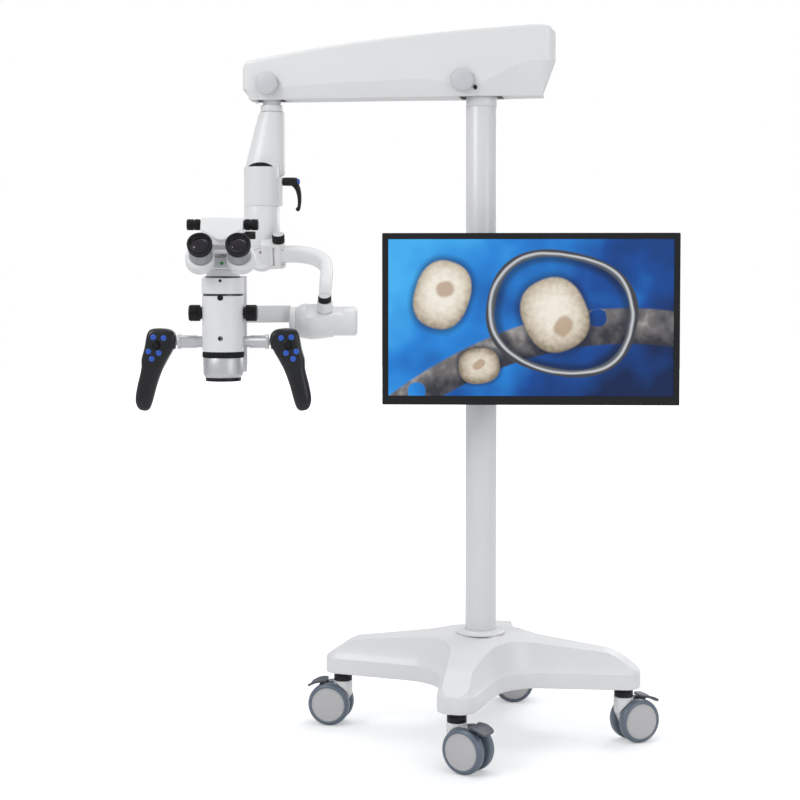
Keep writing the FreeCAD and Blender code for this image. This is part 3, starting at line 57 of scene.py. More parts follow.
# Shafts of the microscope's side knobs: heights, and where the knobs begin, in metres
MAGNIFICATION_HEIGHT = 0.9384
SPACING_HEIGHT = 1.119
KNOB_START = 0.0433

# Lean of the eyepieces from upright, in degrees
EYE_LEAN = 57

# Longest gap that a weld closes, in metres
WELD_GAP = 0.00002


# Frames of the part, in metres

def shift(x, y, z):
    return Matrix.Translation((x, y, z))


def spin(degrees, letter):
    return Matrix.Rotation(radians(degrees), 4, letter)


TO_X = spin(90, "Y")
TO_LEFT = spin(-90, "Y")
TO_BACK = spin(-90, "X")
TO_VIEWER = spin(90, "X")
VIEW = spin(8, "Z")
STAND = spin(BASE_TURN, "Z")
SCOPE = VIEW @ shift(-0.542, -0.237, 0)
EYES = SCOPE @ spin(2, "Z") @ shift(0, 0, 0.0015)
LINK = VIEW @ shift(-0.444, -0.010, 1.062) @ spin(28, "X")
SLEEVE = VIEW @ shift(SLEEVE_X, SLEEVE_Y, 0)


def castor_at(x, y, heading):
    return STAND @ shift(x / 1000, y / 1000, 0) @ spin(heading - BASE_TURN, "Z")


CASTORS = {
    "left": castor_at(-SIDE_REACH, 0, 175),
    "right": castor_at(SIDE_REACH, 0, 32),
    "front": castor_at(0, -FRONT_REACH, -27),
    "rear": castor_at(0, FRONT_REACH, 12),
}
SIDES = ((-1, "left"), (1, "right"))


def outward(side):
    """Turn that points a piece's own Z away from the microscope on one side."""
    return TO_X if side > 0 else TO_LEFT


# Materials

def new_material(name):
    material = bpy.data.materials.new(name)
    material.use_nodes = True
    return material, material.node_tree, material.node_tree.nodes["Principled BSDF"]


def feed(tree, node, entries):
    """Gives a node's inputs their numbers, colours or links."""
    for label, entry in entries.items():
        socket = node.inputs[label]
        if isinstance(entry, bpy.types.NodeSocket):
            tree.links.new(entry, socket)
        else:
            socket.default_value = (*entry, 1) if socket.type == "RGBA" else entry
    return node


def new_node(tree, kind, entries, **settings):
    node = tree.nodes.new("ShaderNode" + kind)
    for label, entry in settings.items():
        setattr(node, label, entry)
    return feed(tree, node, entries)


def object_coords(tree):
    return new_node(tree, "TexCoord", {}).outputs["Object"]


def noise_of(tree, coords, scale, detail=3.0):
    entries = {"Scale": scale, "Detail": detail, "Vector": coords}
    return new_node(tree, "TexNoise", entries).outputs["Fac"]


def spread(tree, fac, low, high, from_low=0.3, from_high=0.7, **settings):
    entries = {"Value": fac, "From Min": from_low, "From Max": from_high,
               "To Min": low, "To Max": high}
    return new_node(tree, "MapRange", entries, **settings).outputs["Result"]


def two_tone(tree, fac, below, above):
    entries = {"Factor": fac, "A": below, "B": above}
    return new_node(tree, "Mix", entries, data_type="RGBA").outputs["Result"]


def finish_of(name, colour, rough, metal=0.0, patch=0.03, grain=700.0, bump=0.05, coat=0.0,
              specular=0.5):
    """Procedural surface: slight colour drift, uneven roughness and a fine bump."""
    material, tree, shader = new_material(name)
    coords = object_coords(tree)
    drift = spread(tree, noise_of(tree, coords, 9.0), 0, 1)
    dark = tuple(c * (1 - patch) for c in colour)
    light = tuple(min(1, c * (1 + patch)) for c in colour)
    uneven = spread(tree, noise_of(tree, coords, grain), rough * 0.94, rough * 1.06)
    relief = new_node(tree, "Bump", {"Strength": bump, "Distance": 0.0004,
                                     "Height": noise_of(tree, coords, grain, 2.0)})
    feed(tree, shader, {
        "Base Color": two_tone(tree, drift, dark, light), "Roughness": uneven,
        "Normal": relief.outputs["Normal"], "Metallic": metal, "Coat Weight": coat,
        "Coat Roughness": 0.12, "Specular IOR Level": specular})
    return material


base_white = finish_of("base_white", (0.765, 0.76, 0.76), 0.36, patch=0.015, bump=0.10,
                       grain=900, coat=0.15)
column_white = finish_of("column_white", (0.75, 0.745, 0.745), 0.28, patch=0.01, bump=0.05,
                         coat=0.2)
shell_white = finish_of("shell_white", (0.80, 0.795, 0.79), 0.30, patch=0.012, bump=0.04,
                        coat=0.15)
cast_white = finish_of("cast_white", (0.785, 0.78, 0.775), 0.33, patch=0.015, bump=0.07,
                       coat=0.12)
knob_grey = finish_of("knob_grey", (0.60, 0.61, 0.62), 0.40, patch=0.03, bump=0.05)
black = finish_of("black_moulding", (0.008, 0.008, 0.009), 0.34, patch=0.2, bump=0.08,
                  specular=0.3)
black_soft = finish_of("black_rubber", (0.007, 0.007, 0.008), 0.50, patch=0.25, bump=0.15,
                       specular=0.25)
charcoal = finish_of("grip_charcoal", (0.010, 0.010, 0.012), 0.33, patch=0.15, bump=0.10,
                     grain=1400, coat=0.15, specular=0.35)
tube_silver = finish_of("tube_silver", (0.36, 0.36, 0.38), 0.38, metal=0.55, patch=0.04,
                        bump=0.04)
green = finish_of("mark_green", (0.02, 0.26, 0.06), 0.35, patch=0.1, bump=0.03)
blue = finish_of("button_blue", (0.006, 0.085, 0.50), 0.22, patch=0.08, bump=0.03, coat=0.5)
satin = finish_of("satin_metal", (0.60, 0.60, 0.61), 0.40, metal=0.6, patch=0.03,
                  grain=500, bump=0.02)
dark_metal = finish_of("dark_metal", (0.10, 0.10, 0.105), 0.24, metal=1.0, patch=0.06,
                       bump=0.04)
steel = finish_of("steel", (0.50, 0.50, 0.50), 0.32, metal=1.0, patch=0.05, bump=0.06)
tyre = finish_of("tyre_grey", (0.115, 0.145, 0.185), 0.32, patch=0.06, bump=0.06, coat=0.35)
disc = finish_of("disc_grey", (0.52, 0.51, 0.51), 0.38, patch=0.03, bump=0.05)
slate = finish_of("pedal_slate", (0.065, 0.072, 0.088), 0.40, patch=0.08, bump=0.06)
bezel = finish_of("bezel_black", (0.010, 0.010, 0.011), 0.34, patch=0.2, bump=0.10,
                  specular=0.3)


def make_lens(name, tint):
    material, tree, shader = new_material(name)
    cloud = spread(tree, noise_of(tree, object_coords(tree), 40, 1.0), 0, 1, 0.35, 0.65)
    dark = tuple(c * 0.25 for c in tint)
    feed(tree, shader, {
        "Base Color": two_tone(tree, cloud, dark, tint), "Roughness": 0.03,
        "Coat Weight": 1.0, "Coat Roughness": 0.02, "Specular Tint": tint})
    return material


eye_glass = make_lens("eye_glass", (0.014, 0.006, 0.018))
front_glass = make_lens("front_glass", (0.10, 0.14, 0.17))


# The picture on the screen: a generic close-up in blue, steel and ivory

class Picture:
    """Small helper that writes arithmetic on the screen's own coordinates as nodes."""

    def __init__(self, tree):
        self.tree = tree

    def op(self, kind, a, b=0.0, c=0.0):
        return new_node(self.tree, "Math", {0: a, 1: b, 2: c}, operation=kind).outputs[0]

    def add(self, a, b):
        return self.op("ADD", a, b)

    def sub(self, a, b):
        return self.op("SUBTRACT", a, b)

    def mul(self, a, b):
        return self.op("MULTIPLY", a, b)

    def ease(self, a, low, high):
        return spread(self.tree, a, 0, 1, low, high, interpolation_type="SMOOTHSTEP")

    def within(self, a, low, high):
        return self.sub(1.0, self.ease(a, low, high))

    def oval(self, u, v, at, radii, turn=0.0):
        """Distance from the middle of an oval, 1 on its edge."""
        du = self.sub(u, at[0])
        dv = self.sub(v, at[1])
        c, s = cos(radians(turn)), sin(radians(turn))
        a = self.add(self.mul(du, c), self.mul(dv, s))
        b = self.sub(self.mul(dv, c), self.mul(du, s))
        a = self.op("POWER", self.op("ABSOLUTE", self.op("DIVIDE", a, radii[0])), 2.4)
        b = self.op("POWER", self.op("ABSOLUTE", self.op("DIVIDE", b, radii[1])), 2.4)
        return self.op("POWER", self.add(a, b), 1 / 2.4)

    def tones(self, fac, stops):
        node = new_node(self.tree, "ValToRGB", {"Fac": fac})
        ramp = node.color_ramp.elements
        while len(ramp) < len(stops):
            ramp.new(0.5)
        for element, (spot, colour) in zip(ramp, stops):
            element.position = spot
            element.color = (*colour, 1)
        return node.outputs["Color"]

    def over(self, below, above, mask):
        return two_tone(self.tree, mask, below, above)


def make_screen():
    material, tree, shader = new_material("screen_picture")
    p = Picture(tree)
    mapping = new_node(tree, "Mapping", {
        "Vector": object_coords(tree), "Location": (0.1154, -0.1252, 0.926),
        "Rotation": (0, 0, radians(5.6)), "Scale": (0.301, 0.301, 0.301)},
        vector_type="TEXTURE")
    spot = mapping.outputs["Vector"]
    parts = new_node(tree, "SeparateXYZ", {"Vector": spot})
    u, v = parts.outputs["X"], parts.outputs["Z"]
    cloud = noise_of(tree, spot, 2.2, 2.0)
    grit = noise_of(tree, spot, 26.0, 4.0)
    streak = noise_of(tree, spot, 7.0, 3.0)

    slope = p.add(p.mul(u, -0.35), p.mul(cloud, 0.9))
    slope = p.add(slope, p.mul(v, 0.25))
    field = p.tones(slope, [(0.05, (0.0, 0.012, 0.07)), (0.35, (0.0, 0.06, 0.30)),
                            (0.62, (0.01, 0.21, 0.66)), (0.9, (0.05, 0.42, 0.86))])

    # A steel strip crosses low behind the loop, with two round holes
    band = p.add(v, p.mul(u, -0.30))
    band = p.add(band, p.mul(p.mul(u, u), 0.22))
    strip = p.op("ABSOLUTE", p.add(band, 0.16))
    strip_mask = p.within(strip, 0.115, 0.135)
    for at in ((0.47, 0.00), (-0.80, -0.52)):
        hole = p.oval(u, v, at, (0.062, 0.062))
        strip_mask = p.mul(strip_mask, p.ease(hole, 0.9, 1.1))
    shine = p.add(p.mul(streak, 0.8), p.mul(band, 1.1))
    strip_tone = p.tones(shine, [(0.1, (0.03, 0.03, 0.04)), (0.34, (0.16, 0.15, 0.15)),
                                 (0.5, (0.42, 0.40, 0.38)), (0.62, (0.10, 0.10, 0.12))])
    image = p.over(field, strip_tone, strip_mask)

    # A steel loop to the right of the middle of the screen
    loop = p.oval(u, v, (0.22, 0.03), (0.50, 0.41), -12)
    rim = p.op("ABSOLUTE", p.sub(loop, 1.0))
    shade = p.within(p.op("ABSOLUTE", p.sub(loop, 0.93)), 0.02, 0.14)
    image = p.over(image, (0.0, 0.004, 0.02), p.mul(shade, 0.65))
    rim_mask = p.within(rim, 0.055, 0.068)
    glint = p.add(p.mul(p.sub(loop, 0.93), 4.2), p.mul(cloud, 0.5))
    rim_tone = p.tones(glint, [(0.1, (0.015, 0.015, 0.02)), (0.42, (0.10, 0.11, 0.13)),
                               (0.56, (0.62, 0.64, 0.66)), (0.68, (0.05, 0.05, 0.06))])
    image = p.over(image, rim_tone, rim_mask)

    # Ivory rounded forms: one large inside the loop and two small ones outside it
    for at, radii, turn, dimple in (
            ((0.17, 0.02), (0.235, 0.27), 24, (0.23, -0.06)),
            ((-0.62, 0.16), (0.20, 0.25), -18, (-0.60, 0.20)),
            ((-0.36, -0.34), (0.15, 0.13), 8, (-0.36, -0.33))):
        form = p.oval(u, v, at, radii, turn)
        mask = p.within(form, 0.93, 1.0)
        around = p.within(form, 0.95, 1.22)
        image = p.over(image, (0.0, 0.006, 0.03), p.mul(around, 0.6))
        lift = p.sub(1.0, p.op("POWER", form, 2.5))
        tone = p.add(p.mul(lift, 0.55), p.mul(v, 0.35))
        tone = p.add(tone, p.mul(p.sub(grit, 0.5), 0.35))
        body = p.tones(tone, [(0.0, (0.24, 0.19, 0.13)), (0.3, (0.62, 0.54, 0.43)),
                              (0.55, (0.84, 0.79, 0.69)), (0.95, (0.95, 0.93, 0.88))])
        pit = p.oval(u, v, dimple, (radii[0] * 0.34, radii[1] * 0.24), turn + 30)
        pit_mask = p.mul(p.within(pit, 0.7, 1.15), 0.75)
        body = p.over(body, (0.40, 0.26, 0.15), pit_mask)
        image = p.over(image, body, mask)

    feed(tree, shader, {
        "Base Color": (0.008, 0.009, 0.012), "Roughness": 0.16, "Specular IOR Level": 0.3,
        "Emission Color": image, "Emission Strength": 1.0})
    return material


screen = make_screen()

WHITE_CASTINGS = (
    "column_collars", "column_head", "hanger_block", "hanger_arm", "lower_knuckle", "link_arm",
    "tilt_housing", "yoke_arm", "scope_body", "binocular_base", "binocular_housing",
    "monitor_arm")
BLACK_MOULDINGS = (
    "castor_sockets", "clamp_lever", "link_knob", "tilt_knob", "magnification_knobs",
    "spacing_knobs", "eyepiece_left", "eyepiece_right")
PAINT = {
    "base": base_white, "column": column_white, "beam_cover": shell_white,
    "balance_arm": steel, "parallel_rod": steel, "monitor_bracket": steel,
    "beam_rear_knob": knob_grey, "beam_front_knob": knob_grey, "focus_ring": black_soft,
    "objective_cell": satin, "objective_lens": front_glass, "handle_bars": satin,
    "monitor_housing": bezel, "monitor_screen": screen,
}
PAINT.update(dict.fromkeys(WHITE_CASTINGS, cast_white))
PAINT.update(dict.fromkeys(BLACK_MOULDINGS, black))
for castor in CASTORS:
    PAINT[f"castor_{castor}_fork"] = cast_white
    PAINT[f"castor_{castor}_wheels"] = tyre
    PAINT[f"castor_{castor}_pedal"] = slate
for sign, side in SIDES:
    PAINT[f"handle_{side}"] = charcoal
    PAINT[f"joystick_{side}"] = black_soft
    for number in range(1, 6):
        PAINT[f"button_{side}_{number}"] = blue


def soften(item, width, angle, segments=2):
    edge = item.modifiers.new("soft_edges", "BEVEL")
    edge.width = width
    edge.segments = segments
    edge.limit_method = "ANGLE"
    edge.angle_limit = radians(angle)


def weld(item):
    item.modifiers.new("weld", "WELD").merge_threshold = WELD_GAP


SOFT_EDGES = {"base": 0.003, "handle_left": 0.0, "handle_right": 0.0,
              "monitor_housing": 0.0012, "monitor_screen": 0.0}
for name, item in NODES.items():
    item.data.materials.clear()
    item.data.materials.append(PAINT[name])
    weld(item)
    width = SOFT_EDGES.get(name, 0.0006)
    if width:
        soften(item, width, 38)


# Mesh helpers

def new_object(name, data):
    item = bpy.data.objects.new(name, data)
    bpy.context.scene.collection.objects.link(item)
    return item


def quads(rows, steps, flip=False):
    """Faces between closed rings that follow each other in a list of corners."""
    faces = []
    for low in range(0, (rows - 1) * steps, steps):
        for k in range(steps):
            n = (k + 1) % steps
            face = [low + k, low + n, low + steps + n, low + steps + k]
            faces.append([face[0]] + face[:0:-1] if flip else face)
    return faces


def squared(angle, power):
    """Point of a rounded square; a power of 1 gives the circle."""
    c, d = cos(angle), sin(angle)
    return copysign(abs(c) ** power, c), copysign(abs(d) ** power, d)


def in_metres(points):
    return [tuple(c / 1000 for c in point) for point in points]


class Form:
    """Collects rings, prisms and boxes into one mesh with painted faces."""

    def __init__(self):
        self.verts = []
        self.faces = []
        self.paint = []

    def add(self, verts, faces, paint=0, matrix=None):
        start = len(self.verts)
        matrix = matrix or Matrix.Identity(4)
        self.verts += [matrix @ Vector(v) for v in verts]
        self.faces += [[start + i for i in face] for face in faces]
        self.paint += paint if isinstance(paint, list) else [paint] * len(faces)
        return self

    def turned(self, profile, matrix=None, steps=64, ribs=0):
        """Turns (radius, height[, paint[, rib depth]]) corners about Z."""
        if ribs:
            steps = ribs * 4
        rows, verts, faces, paint = [], [], [], []
        for entry in profile:
            radius, height = entry[0] / 1000, entry[1] / 1000
            depth = entry[3] / 1000 if len(entry) > 3 else 0
            if radius < 1e-7:
                rows.append([len(verts)] * steps)
                verts.append((0, 0, height))
                continue
            rows.append(list(range(len(verts), len(verts) + steps)))
            for k in range(steps):
                a = 2 * pi * k / steps
                r = radius - (depth if k % 4 > 1 else 0)
                verts.append((r * cos(a), r * sin(a), height))
        for i in range(len(rows) - 1):
            low, high = rows[i], rows[i + 1]
            for k in range(steps):
                n = (k + 1) % steps
                corners = [low[k], low[n], high[n], high[k]]
                face = [c for j, c in enumerate(corners) if c not in corners[:j]]
                if len(face) > 2:
                    faces.append(face)
                    paint.append(profile[i][2] if len(profile[i]) > 2 else 0)
        return self.add(verts, faces, paint, matrix)

    def prism(self, corners, low, high, matrix=None, paint=0):
        """Prism of (x, y) corners in millimetres from one height to another."""
        count = len(corners)
        verts = in_metres([(x, y, z) for z in (low, high) for x, y in corners])
        faces = [list(range(count))[::-1], list(range(count, 2 * count))]
        faces += [[i, (i + 1) % count, count + (i + 1) % count, count + i]
                  for i in range(count)]
        return self.add(verts, faces, paint, matrix)

    def make(self, name, materials, body, nodes=(), slot=None, bevel=0.0, sharp=32, smooth=0):
        mesh = bpy.data.meshes.new(name)
        mesh.from_pydata(self.verts, [], self.faces)
        for material in materials:
            mesh.materials.append(material)
        mesh.polygons.foreach_set("material_index", self.paint)
        mesh.update()
        mesh.shade_smooth()
        mesh.set_sharp_from_angle(angle=radians(sharp))
        item = new_object(name, mesh)
        if bevel:
            soften(item, bevel, 35)
        if smooth:
            level = item.modifiers.new("smooth", "SUBSURF")
            level.levels = smooth
            level.render_levels = smooth
        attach(item, body)
        if nodes:
            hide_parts(*nodes)
        return item


# Castor wheels: tyre, rim ring and crowned disc, two on one axle

def make_wheels(name, matrix):
    form = Form()
    axle = matrix @ shift(AXLE_TRAIL, 0, AXLE_HEIGHT)
    form.turned([(0, -30.5, 1), (6, -30.5, 1), (6, 30.5, 1), (0, 30.5, 1)], axle @ TO_BACK, 24)
    for side in (1, -1):
        turn = TO_BACK if side > 0 else TO_VIEWER
        seat = axle @ shift(0, side * 0.010, 0) @ turn
        form.turned([
            (6, 0), (40, 0), (44, 0.6), (46.6, 2.6), (47.5, 6), (47.5, 12), (46.9, 15.4),
            (45.2, 18.3), (42.6, 20.2), (40, 20.8), (38.6, 20.3), (38.0, 19.2, 1),
            (36.9, 19.2, 1), (36.2, 20.2, 1), (34.6, 20.4, 1), (33.4, 19.4, 1), (24, 20.0, 1),
            (12, 20.5, 1), (0, 20.7, 1)], seat, 80)
    form.make(f"castor_{name}_wheel_pair", [tyre, disc], f"castor_{name}_roller",
              (f"castor_{name}_wheels",), "tyre_grey")


for castor, matrix in CASTORS.items():
    make_wheels(castor, matrix)


# Ribbed rings and knobs

def make_knobs():
    foot = 847.0
    ring = Form()
    ring.turned([
        (36.4, foot + 0.4), (40.6, foot + 0.4), (42.2, foot + 1.4, 0, 0.9),
        (42.6, foot + 2.0, 0, 0.9), (42.6, foot + 10.4, 0, 0.9), (42.2, foot + 11.0, 0, 0.9),
        (40.6, foot + 12.0), (36.4, foot + 12.0), (36.4, foot + 0.4)],
        SCOPE, ribs=56)
    ring.make("focus_ring_ribbed", [black_soft], "focus_ring", ("focus_ring",), "black_plastic")

    for name, height, half, ribs, profile in (
            ("magnification_knobs", MAGNIFICATION_HEIGHT, 60, 30, [
                (0, 0), (12.7, 0), (12.7, 3), (15.6, 3.4), (16.5, 5.0, 0, 1.1),
                (16.7, 6.5, 0, 1.1), (16.7, 23.2, 0, 1.1), (16.2, 25.0, 0, 1.1), (14.6, 26.4),
                (13.2, 26.6), (12.6, 25.9), (0, 25.9)]),
            ("spacing_knobs", SPACING_HEIGHT, 53, 24, [
                (0, 0), (9.6, 0), (9.6, 2.4), (10.9, 3, 0, 0.8), (11.4, 4, 0, 0.8),
                (11.4, 12.6, 0, 0.8), (11.0, 13.4), (10.2, 13.8), (10.2, 15.2),
                (11.0, 15.6, 0, 0.8), (11.4, 16.4, 0, 0.8), (11.4, 27.4, 0, 0.8), (10.8, 29.0),
                (9.6, 29.8), (0, 29.8)])):
        pair = Form()
        pair.turned([(0, -half), (4, -half), (4, half), (0, half)],
                    SCOPE @ shift(0, 0, height) @ TO_X, 16)
        for side in (1, -1):
            seat = SCOPE @ shift(side * KNOB_START, 0, height) @ outward(side)
            pair.turned(profile, seat, ribs=ribs)
        pair.make(name + "_ribbed", [black], name, (name,), "black_plastic")

    for name, matrix, high in (
            ("link_knob", LINK @ shift(0, 0, 0.0296), 20),
            ("tilt_knob", LINK @ shift(0.108, -0.200, -0.007375), 14)):
        knob = Form()
        knob.turned([
            (5.3, 0), (12.2, 0), (13.3, 1.0, 0, 0.9), (13.7, 2.0, 0, 0.9),
            (13.7, high - 3, 0, 0.9), (13.2, high - 1.6), (12.2, high - 0.6, 1),
            (11.0, high, 1), (10.2, high, 1), (9.6, high - 0.7, 1), (0, high - 0.7, 1)],
            matrix, ribs=26)
        knob.turned([(5.3, 0), (5.3, 12.5), (0, 12.5)], matrix, 24)
        knob.make(name + "_ribbed", [black, knob_grey], name, (name,), "black_plastic")


make_knobs()


def evaluated(item):
    """Replaces an object's mesh by what its modifiers make of it."""
    graph = bpy.context.evaluated_depsgraph_get()
    mesh = bpy.data.meshes.new_from_object(item.evaluated_get(graph))
    item.modifiers.clear()
    item.data = mesh
    return item


def melted(item, voxel, rounds):
    """Joins overlapping solids into one skin and softens where they meet."""
    skin = item.modifiers.new("skin", "REMESH")
    skin.mode = "VOXEL"
    skin.voxel_size = voxel
    soft = item.modifiers.new("soft", "SMOOTH")
    soft.iterations = rounds
    bpy.context.view_layer.update()
    materials = list(item.data.materials)
    evaluated(item)
    item.data.materials.clear()
    for material in materials:
        item.data.materials.append(material)
    item.data.shade_smooth()
    return item


# Base casting

RIM_TOP = 158
PLATEAU = 225
PLATEAU_REACH = 53
KNEE_BACK = 60
KNEE_HEIGHT = 198
TOE_RUN = 62
TOE_DROP = 41.5
SCOOP = 21
SCOOP_POWER = 1.7
LIP = 1.4
LIP_TOP = 157.0
LEG_HALF = 36
LEG_ROOT = 72
ROOT_RADIUS = 105
MIDDLE_REACH = 75


def arc_points(before, corner, after, radius, count):
    a = (Vector(before) - Vector(corner)).normalized()
    b = (Vector(after) - Vector(corner)).normalized()
    half = a.angle(b) / 2
    centre = Vector(corner) + (a + b).normalized() * (radius / sin(half))
    start = Vector(corner) + a * (radius / tan(half)) - centre
    end = Vector(corner) + b * (radius / tan(half)) - centre
    sweep = start.angle_signed(end)
    points = []
    for k in range(count + 1):
        turn = Matrix.Rotation(-sweep * k / count, 2)
        points.append(centre + turn @ start)
    return points


def base_loop(inset):
    """Outline of the four legs drawn in by an inset, always with the same points."""
    corners = []
    for quarter, reach in enumerate((SIDE_REACH, FRONT_REACH) * 2):
        half, far, root = LEG_HALF - inset, reach + LEG_HALF - inset, LEG_ROOT - inset
        for along, across, radius, count in (
                (far, -half, half * 0.94, 9), (far, half, half * 0.94, 9),
                (root, root, ROOT_RADIUS + inset, 16)):
            x, y = along, across
            for turn in range(quarter):
                x, y = -y, x
            corners.append(((x, y), radius, count))
    points = []
    for i, (corner, radius, count) in enumerate(corners):
        arc = arc_points(corners[i - 1][0], corner, corners[(i + 1) % 12][0], radius, count)
        if points:
            last = points[-1]
            for k in range(1, 10):
                points.append(last + (arc[0] - last) * k / 10)
        points += arc
    last = points[-1]
    for k in range(1, 10):
        points.append(last + (points[0] - last) * k / 10)
    return points


def roof(x, y):
    """Height of the ridge over a point: flat middle, falling leg, steeper toe."""
    heights = []
    for along, reach in ((abs(x), SIDE_REACH), (abs(y), FRONT_REACH)):
        knee = reach + LEG_HALF - KNEE_BACK
        if along < PLATEAU_REACH:
            heights.append(PLATEAU)
        elif along < knee:
            share = (along - PLATEAU_REACH) / (knee - PLATEAU_REACH)
            heights.append(PLATEAU + (KNEE_HEIGHT - PLATEAU) * share)
        else:
            share = min(1, (along - knee) / TOE_RUN)
            heights.append(KNEE_HEIGHT - TOE_DROP * share)
    return min(heights)


def ridge_point(p):
    """Point of the leg's middle line that a point of the crease is joined to."""
    across, along = sorted((abs(p.x), abs(p.y)))
    share = 1 if along > MIDDLE_REACH else (along - across) / MIDDLE_REACH
    return Vector((p.x * share, 0)) if abs(p.x) > abs(p.y) else Vector((0, p.y * share))


def make_base():
    loops = {}

    def spot(i, inset):
        key = round(inset, 1)
        if key not in loops:
            loops[key] = base_loop(key)
        return loops[key][i]

    count = len(base_loop(0))
    creases = []
    for i in range(count):
        inset = 20.0
        for attempt in range(5):
            p = spot(i, inset)
            rise = max(0.0, roof(p.x, p.y) - RIM_TOP)
            inset = max(LIP, SCOOP * (rise / (PLATEAU - RIM_TOP)) ** (1 / SCOOP_POWER))
        creases.append(inset)
    points = []
    for inset, height in ((26, 124), (3, 122), (0.8, 122.6), (0, 124.5), (0, 154.6),
                          (0.5, 156.3), (LIP, LIP_TOP)):
        points += [(*spot(i, inset), height) for i in range(count)]
    for share in (0.12, 0.26, 0.40, 0.54, 0.68, 0.80, 0.90, 0.97, 1.0):
        for i in range(count):
            inset = LIP + (creases[i] - LIP) * share
            p = spot(i, inset)
            rise = (PLATEAU - RIM_TOP) * (inset / SCOOP) ** SCOOP_POWER
            points.append((p.x, p.y, max(LIP_TOP, min(RIM_TOP + rise, roof(p.x, p.y)))))
    for share in (0.08, 0.5, 1.0):
        for i in range(count):
            s = spot(i, creases[i]).lerp(ridge_point(spot(i, creases[i])), share)
            points.append((s.x, s.y, roof(s.x, s.y)))
    faces = quads(len(points) // count, count)
    faces.append(list(range(count))[::-1])
    form = Form().add(in_metres(points), faces, 0, STAND)
    form.make("base_casting", [base_white], "stand", ("base",), "base_white", sharp=24)


make_base()


# Cover of the balance arm

def between(x, points):
    for (x0, v0), (x1, v1) in zip(points, points[1:]):
        if x <= x1:
            return v0 + (v1 - v0) * max(0, x - x0) / (x1 - x0)
    return points[-1][1]


COVER_FOOT = 1403
LEFT_END, LEFT_ROUND = -528, 16
RIGHT_END, RIGHT_ROUND = 164, 34
SLOTS = ((-502, -436), (-47, 47))
COVER_TOP = ((-528, 1477), (-524, 1484), (-514, 1490), (-440, 1502.5), (-360, 1514.5),
             (-280, 1525), (-190, 1534.5), (-100, 1543), (-10, 1549.5), (60, 1553.5),
             (110, 1556.3), (130, 1556.6), (145, 1554), (156, 1549.5), (164, 1543))
CREASE = ((-528, 1427), (-500, 1426), (-426, 1430), (-280, 1437), (-129, 1441), (-90, 1437),
          (-60, 1429.5), (-30, 1424), (-5, 1427), (20, 1438), (46, 1452), (76, 1466),
          (106, 1475), (130, 1477), (164, 1477))
COVER_XS = (-502, -469, -436, -400, -360, -320, -280, -240, -200, -160, -129, -100, -75,
            -60, -47, -30, -15, 0, 15, 30, 47, 62, 76, 90, 106, 120)


def cover_outline():
    """Outline of the cover at its widest, from the viewer's side round its right end."""
    side = [(x, -between(x, ((LEFT_END, 43), (-60, 56), (RIGHT_END, 56)))) for x in COVER_XS]
    right = [(RIGHT_END - RIGHT_ROUND * (1 - sin(a)), -22 - RIGHT_ROUND * cos(a))
             for a in (pi / 2 * k / 8 for k in range(9))]
    left = [(LEFT_END + LEFT_ROUND * (1 - sin(a)), -27.4 - LEFT_ROUND * cos(a))
            for a in (pi / 2 * k / 6 for k in range(7))]
    loop = side + right + [(RIGHT_END, y) for y in (-11, 0, 11)]
    loop += [(x, -y) for x, y in right[::-1] + side[::-1] + left]
    return loop + [(LEFT_END, y) for y in (14, 0, -14)] + left[::-1]


